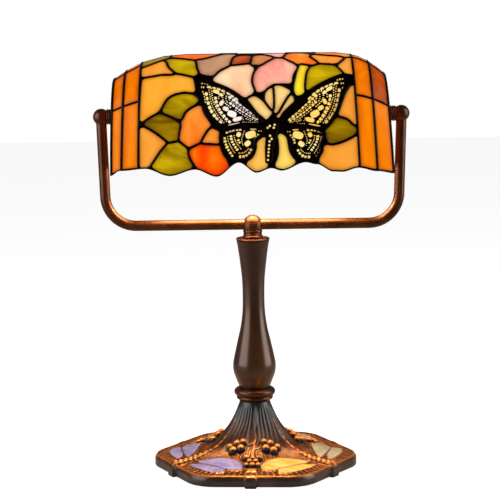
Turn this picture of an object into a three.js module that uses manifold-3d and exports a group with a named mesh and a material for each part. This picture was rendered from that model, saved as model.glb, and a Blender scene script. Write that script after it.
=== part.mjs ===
// Stained glass desk lamp: a leaded glass vault that tilts between the arms of a U-shaped yoke,
// on a turned column with a flared cast base. Millimetres, +Z up, the front faces -Y.
// The origin is on the table, under the middle of the column.
import * as THREE from "three";
import { mergeVertices } from "three/addons/utils/BufferGeometryUtils.js";
import Module from "manifold-3d";

const wasm = await Module();
wasm.setup();

const GAP = 0.3; // between pieces that touch on the real lamp
const RUN = 0.1; // round the pivot nipples, which turn in their bores

// Base casting: a six-sided foot with round corners, which sweeps up into a cone.
const BASE = { flat: 85, corner: 30, wall: 3.2, clearance: 1.2, edge: 9, twist: -3.3 };
const FLARE = { neck: 13.7, top: 60.2, foot: 8.6, reach: 18.5, power: 0.9 };
const TAB = { count: 6, width: 9.6, proud: 2.4, height: 8.6, depth: 5.2 };
const ROD = { radius: 4, bore: 2.4, bottom: 44, top: 219.6 };
const CORD_HOLE = { x: 22.5, z: 5.2, radius: 3.2 };

// Dragonfly wings of glass set on the foot, in the dragonfly's own axes: across, and out from the middle.
const DRAGONFLY_ANGLES = [-60, 60, 180];
const WINGS = {
  fore: { root: [11, 65.5], tip: [52, 41], width: 16.5 },
  hind: { root: [13.5, 73], tip: [50.5, 59], width: 13 },
};
const WING_THICK = 2.4;
const WING_PROUD = 1.7;

// Column and the hub on top of it.
const COLUMN = { bottom: 74.3, top: 211.2, wall: 2 };
const CAP = { radius: 15.4, top: 213.2 };
const HUB = { ball: 8.8, z: 225.6, collarBottom: 213.5 };

// Yoke: two bent tubes that screw into the hub.
const YOKE = { radius: 4.8, bore: 3.4, x: 134, bend: 28, ballX: 136, inner: 3.2 };
const PIVOT = { z: 325.7, ball: 7.5, nipple: 3, bore: 1.8 };

// Shade: an arched vault, flat in front and drawn in towards its two end walls.
const SHADE = { rim: 282, crown: 99, depth: 64, power: 2.4, end: 125.5 };
const GLASS = 2.6;
const CAME = { width: 3, proud: 0.4, depth: 3.2 };
const BAR_LINES = { left: [100, 115], right: [94.5, 110] }; // where the two upright cames stand on each side
const TAPER = [
  [-125.5, 0.78], [-115, 0.858], [-100, 0.932], [-80, 0.985], [-60, 1],
  [60, 1], [78, 0.988], [94.5, 0.95], [110, 0.87], [125.5, 0.78],
];
const RIDGE = 0.555; // the ridge came, as a share of the way from the front rim to the back rim
// Height of the wavy front edge over the rim line, along the shade. The back edge is the same, turned round.
const RIM_WAVE = [
  [-125.5, -4.5], [-116, 0.6], [-94, 2.9], [-72, -3.6], [-50, 1.9], [-31, -4.6], [-11.5, 7.5], [4, -1.5],
  [17, 2.3], [26, 0], [47, 7.1], [57, 5.2], [71, -1.3], [79, -1.7], [93, 1.6], [110, -2.1], [125.5, -5],
];
const STATION = 8; // spacing of the lines across the vault that the glass and the solder share
const FIRST_ROW = 0.09; // the first full line along the vault over the wavy rim, as for RIDGE
const ROWS = 6;

const finish = {
  bronze: new THREE.MeshStandardMaterial({ color: 0x3b2415, roughness: 0.38, metalness: 0.85 }),
  brass: new THREE.MeshStandardMaterial({ color: 0xb08d4f, roughness: 0.35, metalness: 1 }),
  steel: new THREE.MeshStandardMaterial({ color: 0x9a9a98, roughness: 0.4, metalness: 1 }),
  iron: new THREE.MeshStandardMaterial({ color: 0x333333, roughness: 0.7, metalness: 0.8 }),
  solder: new THREE.MeshStandardMaterial({ color: 0x15100c, roughness: 0.45, metalness: 0.7 }),
  felt: new THREE.MeshStandardMaterial({ color: 0x243126, roughness: 1, metalness: 0 }),
  black: new THREE.MeshStandardMaterial({ color: 0x181818, roughness: 0.5, metalness: 0 }),
  amber: new THREE.MeshStandardMaterial({ color: 0xff9a1f, roughness: 0.2, metalness: 0 }),
  lilac: new THREE.MeshStandardMaterial({ color: 0xb3a4d2, roughness: 0.2, metalness: 0 }),
  cream: new THREE.MeshStandardMaterial({ color: 0xf3cf7e, roughness: 0.2, metalness: 0 }),
  bulb: new THREE.MeshStandardMaterial({ color: 0xfff1d6, roughness: 0.25, metalness: 0 }),
};

const lamp = new THREE.Group();

// ---------------------------------------------------------------- helpers

function solidFrom(geometry) {
  const bare = geometry.clone();
  bare.deleteAttribute("normal");
  bare.deleteAttribute("uv");
  const merged = mergeVertices(bare, 1e-3);
  const made = new wasm.Mesh({
    numProp: 3,
    vertProperties: new Float32Array(merged.attributes.position.array),
    triVerts: new Uint32Array(merged.index.array),
  });
  return new wasm.Manifold(made);
}

function geometryFrom(solid) {
  const made = solid.getMesh();
  const geometry = new THREE.BufferGeometry();
  geometry.setAttribute("position", new THREE.BufferAttribute(made.vertProperties, 3));
  geometry.setIndex(new THREE.BufferAttribute(made.triVerts, 1));
  geometry.computeVertexNormals();
  return geometry;
}

function addPiece(name, geometry, material, parent = lamp) {
  const mesh = new THREE.Mesh(geometry, material);
  mesh.name = name;
  parent.add(mesh);
  return mesh;
}

// A turned piece about Z. The profile holds [radius, height] pairs, going up the outside.
function turned(profile, segments = 24) {
  const points = profile.map(([radius, height]) => new THREE.Vector2(radius, height));
  return new THREE.LatheGeometry(points, segments).rotateX(Math.PI / 2);
}

// A turned piece with a hole, so its profile comes back to where it starts.
function turnedRing(profile, segments = 24) {
  return turned([...profile, profile[0]], segments);
}

function tubeProfile(outer, inner, bottom, top) {
  return [[inner, bottom], [outer, bottom], [outer, top], [inner, top]];
}

// Moves a piece turned about Z so that it lies along X, starting at x and going out from the middle.
function alongX(geometry, side) {
  geometry.rotateY(Math.PI / 2);
  if (side < 0) geometry.rotateZ(Math.PI);
  return geometry.translate(0, 0, PIVOT.z);
}

function smooth(value, low, high) {
  const t = Math.min(1, Math.max(0, (value - low) / (high - low)));
  return t * t * (3 - 2 * t);
}

// A line through [x, value] pairs, straight or eased between them.
function along(table, x, ease = (t) => t) {
  const next = table.findIndex(([at]) => at >= x);
  if (next === 0) return table[0][1];
  if (next < 0) return table[table.length - 1][1];
  const [x0, v0] = table[next - 1];
  const [x1, v1] = table[next];
  return v0 + (v1 - v0) * ease((x - x0) / (x1 - x0));
}

// ---------------------------------------------------------------- base

// Distance from the middle to the foot's edge, at an angle from the middle of a flat side.
function footRadius(angle) {
  const sixth = Math.PI / 3;
  const off = Math.abs(angle - sixth * Math.round(angle / sixth));
  const straight = BASE.flat - BASE.corner;
  if (Math.tan(off) * BASE.flat <= straight * Math.tan(sixth / 2)) return BASE.flat / Math.cos(off);
  const centre = straight / Math.cos(sixth / 2);
  const turn = sixth / 2 - off;
  return centre * Math.cos(turn) + Math.sqrt(BASE.corner ** 2 - (centre * Math.sin(turn)) ** 2);
}

function flareHeight(radius) {
  const out = Math.max(0, radius - FLARE.neck) / FLARE.reach;
  return FLARE.foot + (FLARE.top - FLARE.foot) * Math.exp(-(out ** FLARE.power));
}

// Turns a round form into the six-sided one, from a circle at the cone to the full outline at the edge.
function squareOff(geometry) {
  const position = geometry.attributes.position;
  for (let i = 0; i < position.count; i++) {
    const x = position.getX(i);
    const y = position.getY(i);
    const share = smooth(Math.hypot(x, y), 28, 72);
    const grow = 1 + share * (footRadius(Math.atan2(x, -y)) / BASE.flat - 1);
    position.setXY(i, x * grow, y * grow);
  }
  return geometry;
}

function baseCasting() {
  const topRadii = [79, 68, 56, 45, 36, 29, 23, 18];
  const outside = topRadii.map((radius) => [radius, flareHeight(radius)]);
  const inside = [16, 26, 42, 72].map((radius) => [radius, flareHeight(radius + 1) - BASE.wall]);
  const inner = BASE.flat - BASE.wall;
  const shell = solidFrom(
    squareOff(
      turnedRing(
        [
          [inner, BASE.clearance], [BASE.flat, BASE.clearance], [BASE.flat - 1, BASE.edge],
          [BASE.flat - 2.2, BASE.edge + 0.9], ...outside,
          [FLARE.neck, FLARE.top], [5, FLARE.top], [5, FLARE.top - 5], [9.5, FLARE.top - 5],
          ...inside, [inner, BASE.edge - 3.4],
        ],
        48,
      ),
    ),
  );
  let casting = shell;
  for (let i = 0; i < TAB.count; i++) {
    const tab = new THREE.BoxGeometry(TAB.width, TAB.depth, TAB.height);
    tab.translate(0, -(BASE.flat + TAB.proud - TAB.depth / 2), TAB.height / 2);
    casting = casting.add(solidFrom(tab.rotateZ((i * 2 * Math.PI) / TAB.count)));
  }
  const hole = turned([[0, -8], [CORD_HOLE.radius, -8], [CORD_HOLE.radius, 8], [0, 8]], 16);
  hole.rotateX(Math.PI / 2).translate(CORD_HOLE.x, BASE.flat, CORD_HOLE.z);
  return casting.subtract(solidFrom(hole));
}

// The outline of a wing, pointed at its root and round at its tip, lying along +X from the origin.
function wingShape(length, width) {
  const outline = [];
  const steps = 14;
  for (let i = 0; i < steps; i++) {
    const turn = (i * 2 * Math.PI) / steps;
    const share = (1 - Math.cos(turn)) / 2;
    outline.push(new THREE.Vector2(length * share, (width / 2) * Math.sin(turn) * (0.45 + 0.65 * share)));
  }
  return new THREE.Shape(outline);
}

// A wing plate that follows the slope of the foot and rests on the casting.
function wingPlate({ root, tip, width }, side, casting) {
  const [dx, dy] = [tip[0] - root[0], tip[1] - root[1]];
  const length = Math.hypot(dx, dy);
  const plate = new THREE.ExtrudeGeometry(wingShape(length, width), {
    depth: WING_THICK + 4, bevelEnabled: false,
  });
  plate.translate(-length / 2, 0, -WING_THICK - 4 + WING_PROUD);
  plate.rotateZ(Math.atan2(dy, dx));
  const middle = new THREE.Vector2((root[0] + tip[0]) / 2, (root[1] + tip[1]) / 2);
  const reach = middle.length();
  const slope = Math.atan(flareHeight(reach + 1) - flareHeight(reach));
  const outward = middle.clone().normalize();
  const tilt = new THREE.Matrix4().makeRotationAxis(new THREE.Vector3(-outward.y, outward.x, 0), -slope);
  plate.applyMatrix4(tilt).translate(middle.x, middle.y, flareHeight(reach));
  if (side < 0) {
    plate.scale(-1, 1, 1);
    plate.index ? plate.index.array.reverse() : flipFaces(plate);
  }
  return plate;
}

// Turns each face of a mirrored geometry the right way out again.
function flipFaces(geometry) {
  const position = geometry.attributes.position;
  for (let i = 0; i < position.count; i += 3) {
    const [a, c] = [i, i + 2];
    for (const get of ["X", "Y", "Z"]) {
      const held = position[`get${get}`](a);
      position[`set${get}`](a, position[`get${get}`](c));
      position[`set${get}`](c, held);
    }
  }
}

function addBase() {
  const base = new THREE.Group();
  base.rotation.z = THREE.MathUtils.degToRad(BASE.twist);
  lamp.add(base);
  const casting = baseCasting();
  addPiece("base_casting", geometryFrom(casting), finish.bronze, base);

  const raised = casting.translate(0, 0, GAP);
  DRAGONFLY_ANGLES.forEach((angle, fly) => {
    for (const [pair, wing] of Object.entries(WINGS)) {
      for (const side of [-1, 1]) {
        const plate = wingPlate(wing, side, casting);
        // The dragonfly's out axis is +Y in wingPlate, so half a turn brings it to the front first.
        plate.rotateZ(Math.PI + THREE.MathUtils.degToRad(angle));
        const seated = solidFrom(plate).subtract(raised).decompose();
        const top = seated.reduce((a, b) => (b.boundingBox().max[2] > a.boundingBox().max[2] ? b : a));
        const name = `wing_${pair}_${side < 0 ? "left" : "right"}_${fly + 1}`;
        addPiece(name, geometryFrom(top), fly === 0 ? finish.lilac : finish.cream, base);
      }
    }
  });

  const coverReach = BASE.flat - BASE.wall - 1.4;
  const cover = squareOff(turned([[0, 2.4], [coverReach, 2.4], [coverReach, 3.6], [0, 3.6]], 48));
  addPiece("bottom_cover", cover, finish.steel, base);
  const felt = squareOff(turned([[0, 1.3], [coverReach - 1, 1.3], [coverReach - 1, 2.1], [0, 2.1]], 48));
  addPiece("felt_pad", felt, finish.felt, base);
  addPiece("base_weight", turnedRing(tubeProfile(52, 9, 3.9, 9.6), 24), finish.iron, base);

  const bush = turnedRing([[2, -3.6], [2.8, -3.6], [2.8, 0.3], [3.8, 0.3], [3.5, 1.3], [2, 1.3]], 12);
  bush.rotateX(-Math.PI / 2).translate(CORD_HOLE.x, BASE.flat, CORD_HOLE.z);
  addPiece("cord_bush", bush, finish.black, base);
}

// ---------------------------------------------------------------- column and hub

// Points on a smooth curve through [radius, height] pairs.
function smoothProfile(pairs, count) {
  const curve = new THREE.SplineCurve(pairs.map(([radius, height]) => new THREE.Vector2(radius, height)));
  return curve.getPoints(count).map((point) => [point.x, point.y]);
}

function addColumn() {
  const rod = turnedRing(tubeProfile(ROD.radius, ROD.bore, ROD.bottom, ROD.top), 16);
  addPiece("threaded_rod", rod, finish.steel);

  const seat = FLARE.top - 5.4 - GAP; // under the top of the cone, inside it
  addPiece("base_washer", turnedRing(tubeProfile(8.6, 4.4, seat - 1.6, seat), 24), finish.steel);
  addPiece("base_nut", hexNut(6.5, 4.4, 6, seat - 1.6 - GAP - 6), finish.steel);

  const ringFoot = FLARE.top + GAP;
  const ring = turnedRing([
    [4.6, ringFoot], [15, ringFoot], [16.6, ringFoot + 1.6], [16.9, ringFoot + 2.8], [18.6, ringFoot + 4.4],
    [18.8, ringFoot + 7.4], [17.6, ringFoot + 8.8], [17.4, ringFoot + 10.4], [14.2, ringFoot + 13.5],
    [4.6, ringFoot + 13.5],
  ]);
  addPiece("neck_ring", ring, finish.bronze);

  const outside = smoothProfile(
    [
      [13.9, COLUMN.bottom], [16.8, 81.5], [19.2, 88.5], [19.7, 95], [18.9, 101], [15.6, 116],
      [12.2, 131], [10.4, 145], [10, 160], [10.4, 175], [11.9, 190], [13.6, 203], [15, COLUMN.top],
    ],
    16,
  );
  const inside = outside
    .filter((point, i) => i % 4 === 0)
    .map(([radius, height]) => [radius - COLUMN.wall, height])
    .slice(1)
    .reverse();
  const column = turnedRing([
    [4.6, COLUMN.bottom], ...outside, [4.6, COLUMN.top], [4.6, COLUMN.top - 3],
    ...inside.slice(1), [11, COLUMN.bottom + 3], [4.6, COLUMN.bottom + 3],
  ]);
  addPiece("column", column, finish.bronze);

  const capFoot = COLUMN.top + GAP;
  const cap = turnedRing([
    [4.6, capFoot], [CAP.radius - 0.4, capFoot], [CAP.radius, capFoot + 0.7], [CAP.radius - 0.5, CAP.top],
    [4.6, CAP.top],
  ]);
  addPiece("column_cap", cap, finish.bronze);

  const foot = HUB.collarBottom;
  const collar = turnedRing(
    [
      [4.6, foot], [8.8, foot], [9.4, foot + 0.8], [9.2, foot + 1.8], [8.2, foot + 2.5], [8.5, foot + 3.3],
      [8.5, foot + 4.5], [7.7, foot + 5.4], [4.6, foot + 5.4],
    ],
    20,
  );
  const ball = new THREE.SphereGeometry(HUB.ball, 20, 14).rotateX(Math.PI / 2).translate(0, 0, HUB.z);
  const ballSpace = new THREE.SphereGeometry(HUB.ball + GAP, 20, 14);
  ballSpace.rotateX(Math.PI / 2).translate(0, 0, HUB.z);
  addPiece("hub_collar", geometryFrom(solidFrom(collar).subtract(solidFrom(ballSpace))), finish.bronze);

  const sockets = tubeSpace(HUB.ball + 2, YOKE.radius + GAP, YOKE.inner - GAP);
  const rodHole = turned([[0, 200], [ROD.radius + GAP, 200], [ROD.radius + GAP, ROD.top + GAP],
    [0, ROD.top + GAP]], 16);
  const hub = solidFrom(ball).subtract(sockets).subtract(solidFrom(rodHole));
  addPiece("hub_ball", geometryFrom(hub), finish.bronze);
}

// Two blind holes that run in from both sides, for the ends of the yoke tubes, with a wire way between them.
function tubeSpace(reach, radius, floor) {
  const bore = turned(
    [
      [0, -reach], [radius, -reach], [radius, -floor], [YOKE.bore, -floor], [YOKE.bore, floor],
      [radius, floor], [radius, reach], [0, reach],
    ],
    16,
  );
  return solidFrom(bore.rotateY(Math.PI / 2).translate(0, 0, HUB.z));
}

function hexNut(across, hole, height, bottom) {
  const corner = across / Math.cos(Math.PI / 6);
  const body = new THREE.CylinderGeometry(corner, corner, height, 6);
  body.rotateX(Math.PI / 2).translate(0, 0, bottom + height / 2);
  const bore = turned([[0, bottom - 1], [hole, bottom - 1], [hole, bottom + height + 1],
    [0, bottom + height + 1]], 16);
  return geometryFrom(solidFrom(body).subtract(solidFrom(bore)));
}

// ---------------------------------------------------------------- yoke

// The centre line of one yoke tube: out from the hub, round the bend, and up to the pivot ball.
class ArmLine extends THREE.Curve {
  constructor(side) {
    super();
    this.side = side;
    this.level = YOKE.x - YOKE.bend - YOKE.inner;
    this.quarter = (Math.PI / 2) * YOKE.bend;
    this.rise = PIVOT.z - PIVOT.ball + 2 - (HUB.z + YOKE.bend);
  }

  getPoint(t, target = new THREE.Vector3()) {
    const run = t * (this.level + this.quarter + this.rise);
    let x = YOKE.inner + run;
    let z = HUB.z;
    if (run > this.level) {
      const turn = Math.min(run - this.level, this.quarter) / YOKE.bend;
      x = YOKE.x - YOKE.bend + YOKE.bend * Math.sin(turn);
      z = HUB.z + YOKE.bend * (1 - Math.cos(turn));
    }
    if (run > this.level + this.quarter) {
      const up = run - this.level - this.quarter;
      z += up;
      x += ((YOKE.ballX - YOKE.x) * up) / this.rise;
    }
    return target.set(this.side * x, 0, z);
  }
}

function ringShape(outer, inner, sides) {
  const circle = (radius) =>
    Array.from({ length: sides }, (unused, i) => {
      const turn = (i * 2 * Math.PI) / sides;
      return new THREE.Vector2(radius * Math.cos(turn), radius * Math.sin(turn));
    });
  const shape = new THREE.Shape(circle(outer));
  if (inner) shape.holes.push(new THREE.Path(circle(inner)));
  return shape;
}

function addYoke() {
  for (const [word, side] of [["left", -1], ["right", 1]]) {
    const tube = new THREE.ExtrudeGeometry(ringShape(YOKE.radius, YOKE.bore, 12), {
      steps: 22, bevelEnabled: false, extrudePath: new ArmLine(side),
    });
    addPiece(`yoke_arm_${word}`, tube, finish.bronze);

    const centre = [side * YOKE.ballX, 0, PIVOT.z];
    const ball = new THREE.SphereGeometry(PIVOT.ball, 16, 12).translate(...centre);
    const armHole = turned([[0, -20], [YOKE.radius + GAP, -20], [YOKE.radius + GAP, -PIVOT.ball + 2 + GAP],
      [0, -PIVOT.ball + 2 + GAP]], 16).translate(...centre);
    const wireHole = turned([[0, -10], [1.6, -10], [1.6, 0], [0, 0]], 12).translate(...centre);
    const bore = alongX(turned([[0, 120], [PIVOT.nipple + RUN, 120], [PIVOT.nipple + RUN, YOKE.ballX + 4],
      [0, YOKE.ballX + 4]], 16), side);
    const drilled = solidFrom(ball).subtract(solidFrom(armHole)).subtract(solidFrom(bore));
    addPiece(`pivot_ball_${word}`, geometryFrom(drilled.subtract(solidFrom(wireHole))), finish.bronze);

    const ridge = (x) => [[6.3, x], [7.1, x + 0.5], [7.1, x + 1.2]];
    const sleeve = alongX(turnedRing([[PIVOT.nipple + RUN, 125.9], ...ridge(125.9), ...ridge(127.7),
      ...ridge(129.5), [6.3, 131.1], [PIVOT.nipple + RUN, 131.1]], 16), side);
    const ballSpace = new THREE.SphereGeometry(PIVOT.ball + GAP, 16, 12).translate(...centre);
    const cupped = solidFrom(sleeve).subtract(solidFrom(ballSpace));
    addPiece(`pivot_sleeve_${word}`, geometryFrom(cupped), finish.bronze);
  }
}

// ---------------------------------------------------------------- shade

function taper(x) {
  return along(TAPER, x);
}

function wave(x, turn) {
  return along(RIM_WAVE, turn > 0.5 ? -x : x, (t) => smooth(t, 0, 1));
}

// A point of the vault. turn runs from 0 at the front rim to 1 at the back rim, and inset goes inwards.
function vaultPoint(x, turn, inset) {
  const scale = taper(x);
  const angle = turn * Math.PI;
  const power = 2 / SHADE.power;
  const across = Math.sign(Math.cos(angle)) * Math.abs(Math.cos(angle)) ** power;
  const up = Math.abs(Math.sin(angle)) ** power;
  return [x, -across * (scale * SHADE.depth - inset), SHADE.rim + up * (scale * SHADE.crown - inset)];
}

// The same, for a height over the rim line near an edge: below the line the wall goes straight down.
function edgePoint(x, turn, level, inset) {
  const scale = taper(x);
  const rise = Math.max(0, level) / (scale * SHADE.crown - inset);
  const across = (1 - rise ** SHADE.power) ** (1 / SHADE.power);
  const side = turn > 0.5 ? 1 : -1;
  return [x, side * across * (scale * SHADE.depth - inset), SHADE.rim + level];
}

// A closed plate between two surfaces, each a grid of points that the function gives.
function plate(columns, rows, pointAt, outer, inner) {
  const grid = (inset) => columns.map((x) => rows.map((row) => pointAt(x, row, inset)));
  const faces = [];
  const quad = (a, b, c, d) => faces.push(a, b, c, a, c, d);
  const [out, back] = [grid(outer), grid(inner)];
  const [m, n] = [columns.length - 1, rows.length - 1];
  for (let i = 0; i < m; i++) {
    for (let j = 0; j < n; j++) {
      quad(out[i][j], out[i + 1][j], out[i + 1][j + 1], out[i][j + 1]);
      quad(back[i][j], back[i][j + 1], back[i + 1][j + 1], back[i + 1][j]);
    }
    quad(out[i][0], back[i][0], back[i + 1][0], out[i + 1][0]);
    quad(out[i][n], out[i + 1][n], back[i + 1][n], back[i][n]);
  }
  for (let j = 0; j < n; j++) {
    quad(out[0][j], out[0][j + 1], back[0][j + 1], back[0][j]);
    quad(out[m][j], back[m][j], back[m][j + 1], out[m][j + 1]);
  }
  const geometry = new THREE.BufferGeometry();
  geometry.setAttribute("position", new THREE.Float32BufferAttribute(faces.flat(), 3));
  return solidFrom(geometry);
}

function spread(low, high, count) {
  return Array.from({ length: count + 1 }, (unused, i) => low + ((high - low) * i) / count);
}

// The lines across the vault from one place along it to another.
function stations(low, high) {
  const first = Math.ceil((low + 1) / STATION);
  const last = Math.floor((high - 1) / STATION);
  const between = Array.from({ length: Math.max(0, last - first + 1) }, (unused, i) => (first + i) * STATION);
  return [low, ...between, high];
}

const came = CAME.width / 2;
const cameTurn = came / 260; // the same, as a share of the way over the vault
const frontRows = (last) => ["edge", ...spread(FIRST_ROW, last, ROWS)];
const backRows = (first) => [...spread(first, 1 - FIRST_ROW, ROWS), "edge"];

// One half of a strip or panel, from the wavy rim to a line near the top.
function vaultPlate(columns, rows, outer, inner, lift = 0) {
  const turn = rows[0] === "edge" ? 0 : 1;
  const pointAt = (x, row, inset) =>
    row === "edge" ? edgePoint(x, turn, wave(x, turn) + lift, inset) : vaultPoint(x, row, inset);
  return plate(columns, rows, pointAt, outer, inner);
}

function glassPanel(x0, x1, front) {
  const clear = cameTurn + 0.004;
  const rows = front ? frontRows(RIDGE - clear) : backRows(RIDGE + clear);
  return vaultPlate(stations(x0, x1), rows, 0, GLASS, came + 2 * GAP);
}

function mirrored(low, high, side) {
  return side < 0 ? [-high, -low] : [low, high];
}

function addGlass() {
  const clear = came + GAP;
  const field = [clear - BAR_LINES.left[0], BAR_LINES.right[0] - clear];
  for (const [face, front] of [["front", true], ["back", false]]) {
    addPiece(`glass_field_${face}`, geometryFrom(glassPanel(...field, front)), finish.amber);
    for (const [word, side] of [["left", -1], ["right", 1]]) {
      const [first, second] = BAR_LINES[word];
      const bars = {
        inner: [first + clear, second - clear],
        outer: [second + clear, SHADE.end - CAME.width - GAP],
      };
      for (const [which, [low, high]] of Object.entries(bars)) {
        const bar = glassPanel(...mirrored(low, high, side), front);
        addPiece(`glass_bar_${which}_${face}_${word}`, geometryFrom(bar), finish.amber);
      }
    }
  }
  addPiece("glass_end_left", geometryFrom(endWall(-1)), finish.amber);
  addPiece("glass_end_right", geometryFrom(endWall(1)), finish.amber);
}

// The flat wall that closes one end, with a hole for the pivot.
function endWall(side) {
  const inset = CAME.depth + GAP;
  const end = side * SHADE.end;
  const corner = (turn) => edgePoint(end, turn, wave(end, turn) + came + 3 * GAP, inset);
  const rest = [...spread(FIRST_ROW, 0.5, ROWS), ...spread(0.5, 1 - FIRST_ROW, ROWS).slice(1)];
  const outline = [corner(0), ...rest.map((turn) => vaultPoint(end, turn, inset)), corner(1)];
  const shape = new THREE.Shape(outline.map(([, y, z]) => new THREE.Vector2(y, z)));
  const wall = new THREE.ExtrudeGeometry(shape, { depth: GLASS, bevelEnabled: false });
  // Stands the shape up, so that its depth runs along X.
  wall.applyMatrix4(new THREE.Matrix4().set(0, 0, 1, 0, 1, 0, 0, 0, 0, 1, 0, 0, 0, 0, 0, 1));
  const inner = SHADE.end - CAME.width + 0.2;
  wall.translate(side > 0 ? inner : -inner - GLASS, 0, 0);
  const hole = turned([[0, 100], [PIVOT.nipple + GAP, 100], [PIVOT.nipple + GAP, 140], [0, 140]], 16);
  return solidFrom(wall).subtract(solidFrom(alongX(hole, side)));
}

// All the solder: arches between the panels, the ridge, and the edging round the rim, run together.
function solderFrame() {
  const [outer, inner] = [-CAME.proud, CAME.depth];
  const parts = [];
  for (const [word, side] of [["left", -1], ["right", 1]]) {
    const arches = [...BAR_LINES[word].map((x) => [x - came, x + came]), [SHADE.end - CAME.width, SHADE.end]];
    for (const [low, high] of arches) {
      const columns = mirrored(low, high, side);
      parts.push(vaultPlate(columns, frontRows(0.5), outer, inner));
      parts.push(vaultPlate(columns, backRows(0.5), outer, inner));
    }
    // The edging under each end wall, from the front corner to the back one.
    const x = side * (SHADE.end - came);
    const [, y, front] = edgePoint(x, 0, wave(x, 0) + came / 2, 1);
    const [, , back] = edgePoint(x, 1, wave(x, 1) + came / 2, 1);
    const bar = new THREE.BoxGeometry(CAME.width, Math.hypot(2 * y, back - front), came);
    bar.rotateX(Math.atan2(back - front, -2 * y)).translate(x, 0, (front + back) / 2);
    parts.push(solidFrom(bar));
  }
  const columns = stations(-SHADE.end, SHADE.end);
  parts.push(plate(columns, [RIDGE - cameTurn, RIDGE + cameTurn], vaultPoint, outer, inner));
  for (const turn of [0, 1]) {
    const level = (x, row) => wave(x, turn) + (turn ? 1 - row : row) * came;
    const edging = (x, row, inset) => edgePoint(x, turn, level(x, row), inset);
    parts.push(plate(columns, [0, 1], edging, outer, inner));
  }
  return wasm.Manifold.union(parts);
}

function addPivotFittings() {
  const inside = SHADE.end - CAME.width - 0.1;
  for (const [word, side] of [["left", -1], ["right", 1]]) {
    const backing = turnedRing(tubeProfile(11, PIVOT.nipple + GAP, inside - 1.2, inside), 20);
    addPiece(`end_plate_${word}`, alongX(backing, side), finish.brass);
    const nipple = turnedRing(tubeProfile(PIVOT.nipple, PIVOT.bore, 106, YOKE.ballX + 2), 16);
    addPiece(`pivot_nipple_${word}`, alongX(nipple, side), finish.brass);
    const nut = hexNut(5.5, PIVOT.nipple + GAP, 4, inside - 1.5 - 4);
    addPiece(`pivot_nut_${word}`, alongX(nut, side), finish.brass);
  }
}

// The socket hangs on the left pivot nipple, and the bulb lies along the pivot axis.
// These profiles run from the middle of the lamp out to the left end.
function addBulb() {
  const hole = PIVOT.nipple + GAP;
  const cap = turnedRing([
    [hole, 104], [15.5, 104], [17.4, 104.8], [17.4, 107], [14, 110.6], [8, 111.7], [hole, 111.7],
  ], 20);
  addPiece("socket_cap", alongX(cap, -1), finish.black);
  const shell = turnedRing([
    [14.2, 66], [16.2, 66], [16.8, 68], [17.4, 80], [17.4, 103.7], [3.4, 103.7], [3.4, 101], [14.2, 101],
  ], 20);
  addPiece("socket_shell", alongX(shell, -1), finish.brass);
  const screw = turned([[0, 73], [13.1, 73], [13.1, 94], [9, 97], [4, 98], [4, 99.5], [0, 99.5]], 20);
  addPiece("bulb_cap", alongX(screw, -1), finish.brass);
  const glass = turned([
    [0, -6], [9, -4], [17, 2.5], [21.5, 12], [22.5, 22], [20.5, 34], [16, 48], [13, 60], [12.6, 72.7],
    [11.6, 72.7], [12, 60], [15, 48], [19.5, 34], [21.5, 22], [20.5, 12.5], [16.2, 3.5], [8.6, -2.9], [0, -4.8],
  ], 20);
  addPiece("bulb_glass", alongX(glass, -1), finish.bulb);
}

function addShade() {
  addGlass();
  addPiece("solder_frame", geometryFrom(solderFrame()), finish.solder);
  addPivotFittings();
  addBulb();
}

addBase();
addColumn();
addYoke();
addShade();

export default lamp;
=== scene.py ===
import math

import bpy
import numpy as np
from mathutils import Matrix, Vector
from mathutils.geometry import delaunay_2d_cdt


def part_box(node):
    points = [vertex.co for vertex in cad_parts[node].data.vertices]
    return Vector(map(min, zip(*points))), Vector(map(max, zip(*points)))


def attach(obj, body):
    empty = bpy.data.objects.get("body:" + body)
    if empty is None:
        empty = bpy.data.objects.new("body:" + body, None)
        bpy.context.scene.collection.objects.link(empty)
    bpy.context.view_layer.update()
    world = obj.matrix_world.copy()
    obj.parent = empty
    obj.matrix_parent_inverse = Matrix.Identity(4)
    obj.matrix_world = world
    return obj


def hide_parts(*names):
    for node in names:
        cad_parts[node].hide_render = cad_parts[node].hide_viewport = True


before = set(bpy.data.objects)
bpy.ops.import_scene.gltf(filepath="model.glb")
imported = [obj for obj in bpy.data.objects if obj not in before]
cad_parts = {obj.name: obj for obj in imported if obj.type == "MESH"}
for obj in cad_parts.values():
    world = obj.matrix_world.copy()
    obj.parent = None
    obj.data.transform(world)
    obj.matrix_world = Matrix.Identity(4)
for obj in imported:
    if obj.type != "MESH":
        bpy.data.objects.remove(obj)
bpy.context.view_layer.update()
MM = 0.001  # sizes below are in millimetres, and become metres when a mesh is made

# ---------------------------------------------------------------- sizes taken from the frame

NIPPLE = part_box("pivot_nipple_left")
PIVOT_Z = (NIPPLE[0].z + NIPPLE[1].z) / 2 / MM
BALL = 7.5  # radius of the pivot balls
PIVOT_X = (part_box("pivot_ball_right")[1].x) / MM - BALL
SHADE_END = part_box("solder_frame")[1].x / MM
SHADE_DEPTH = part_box("glass_field_front")[0].y / MM * -1
RIM = PIVOT_Z - 43.7
CROWN = 99.0  # height of the vault over its rim
POWER = 2.4  # roundness of the vault: 2 is an ellipse, and more is squarer
RIDGE = 0.555  # the ridge lead, as a share of the way from the front rim to the back rim
GLASS = 2.6
HUB_Z = 225.6
YOKE_TUBE, BEND, ARM = 4.8, 28.0, 134.0  # radius of the tube, radius of its bend, and where the arms stand
NIPPLE_HOLE = 3.4
CAP_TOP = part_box("column_cap")[1].z / MM
CONE_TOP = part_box("base_casting")[1].z / MM + 2.4
TWIST = math.radians(-3.3)  # the foot is turned a little on the column

rng = np.random.default_rng(7)


# ---------------------------------------------------------------- meshes

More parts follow.
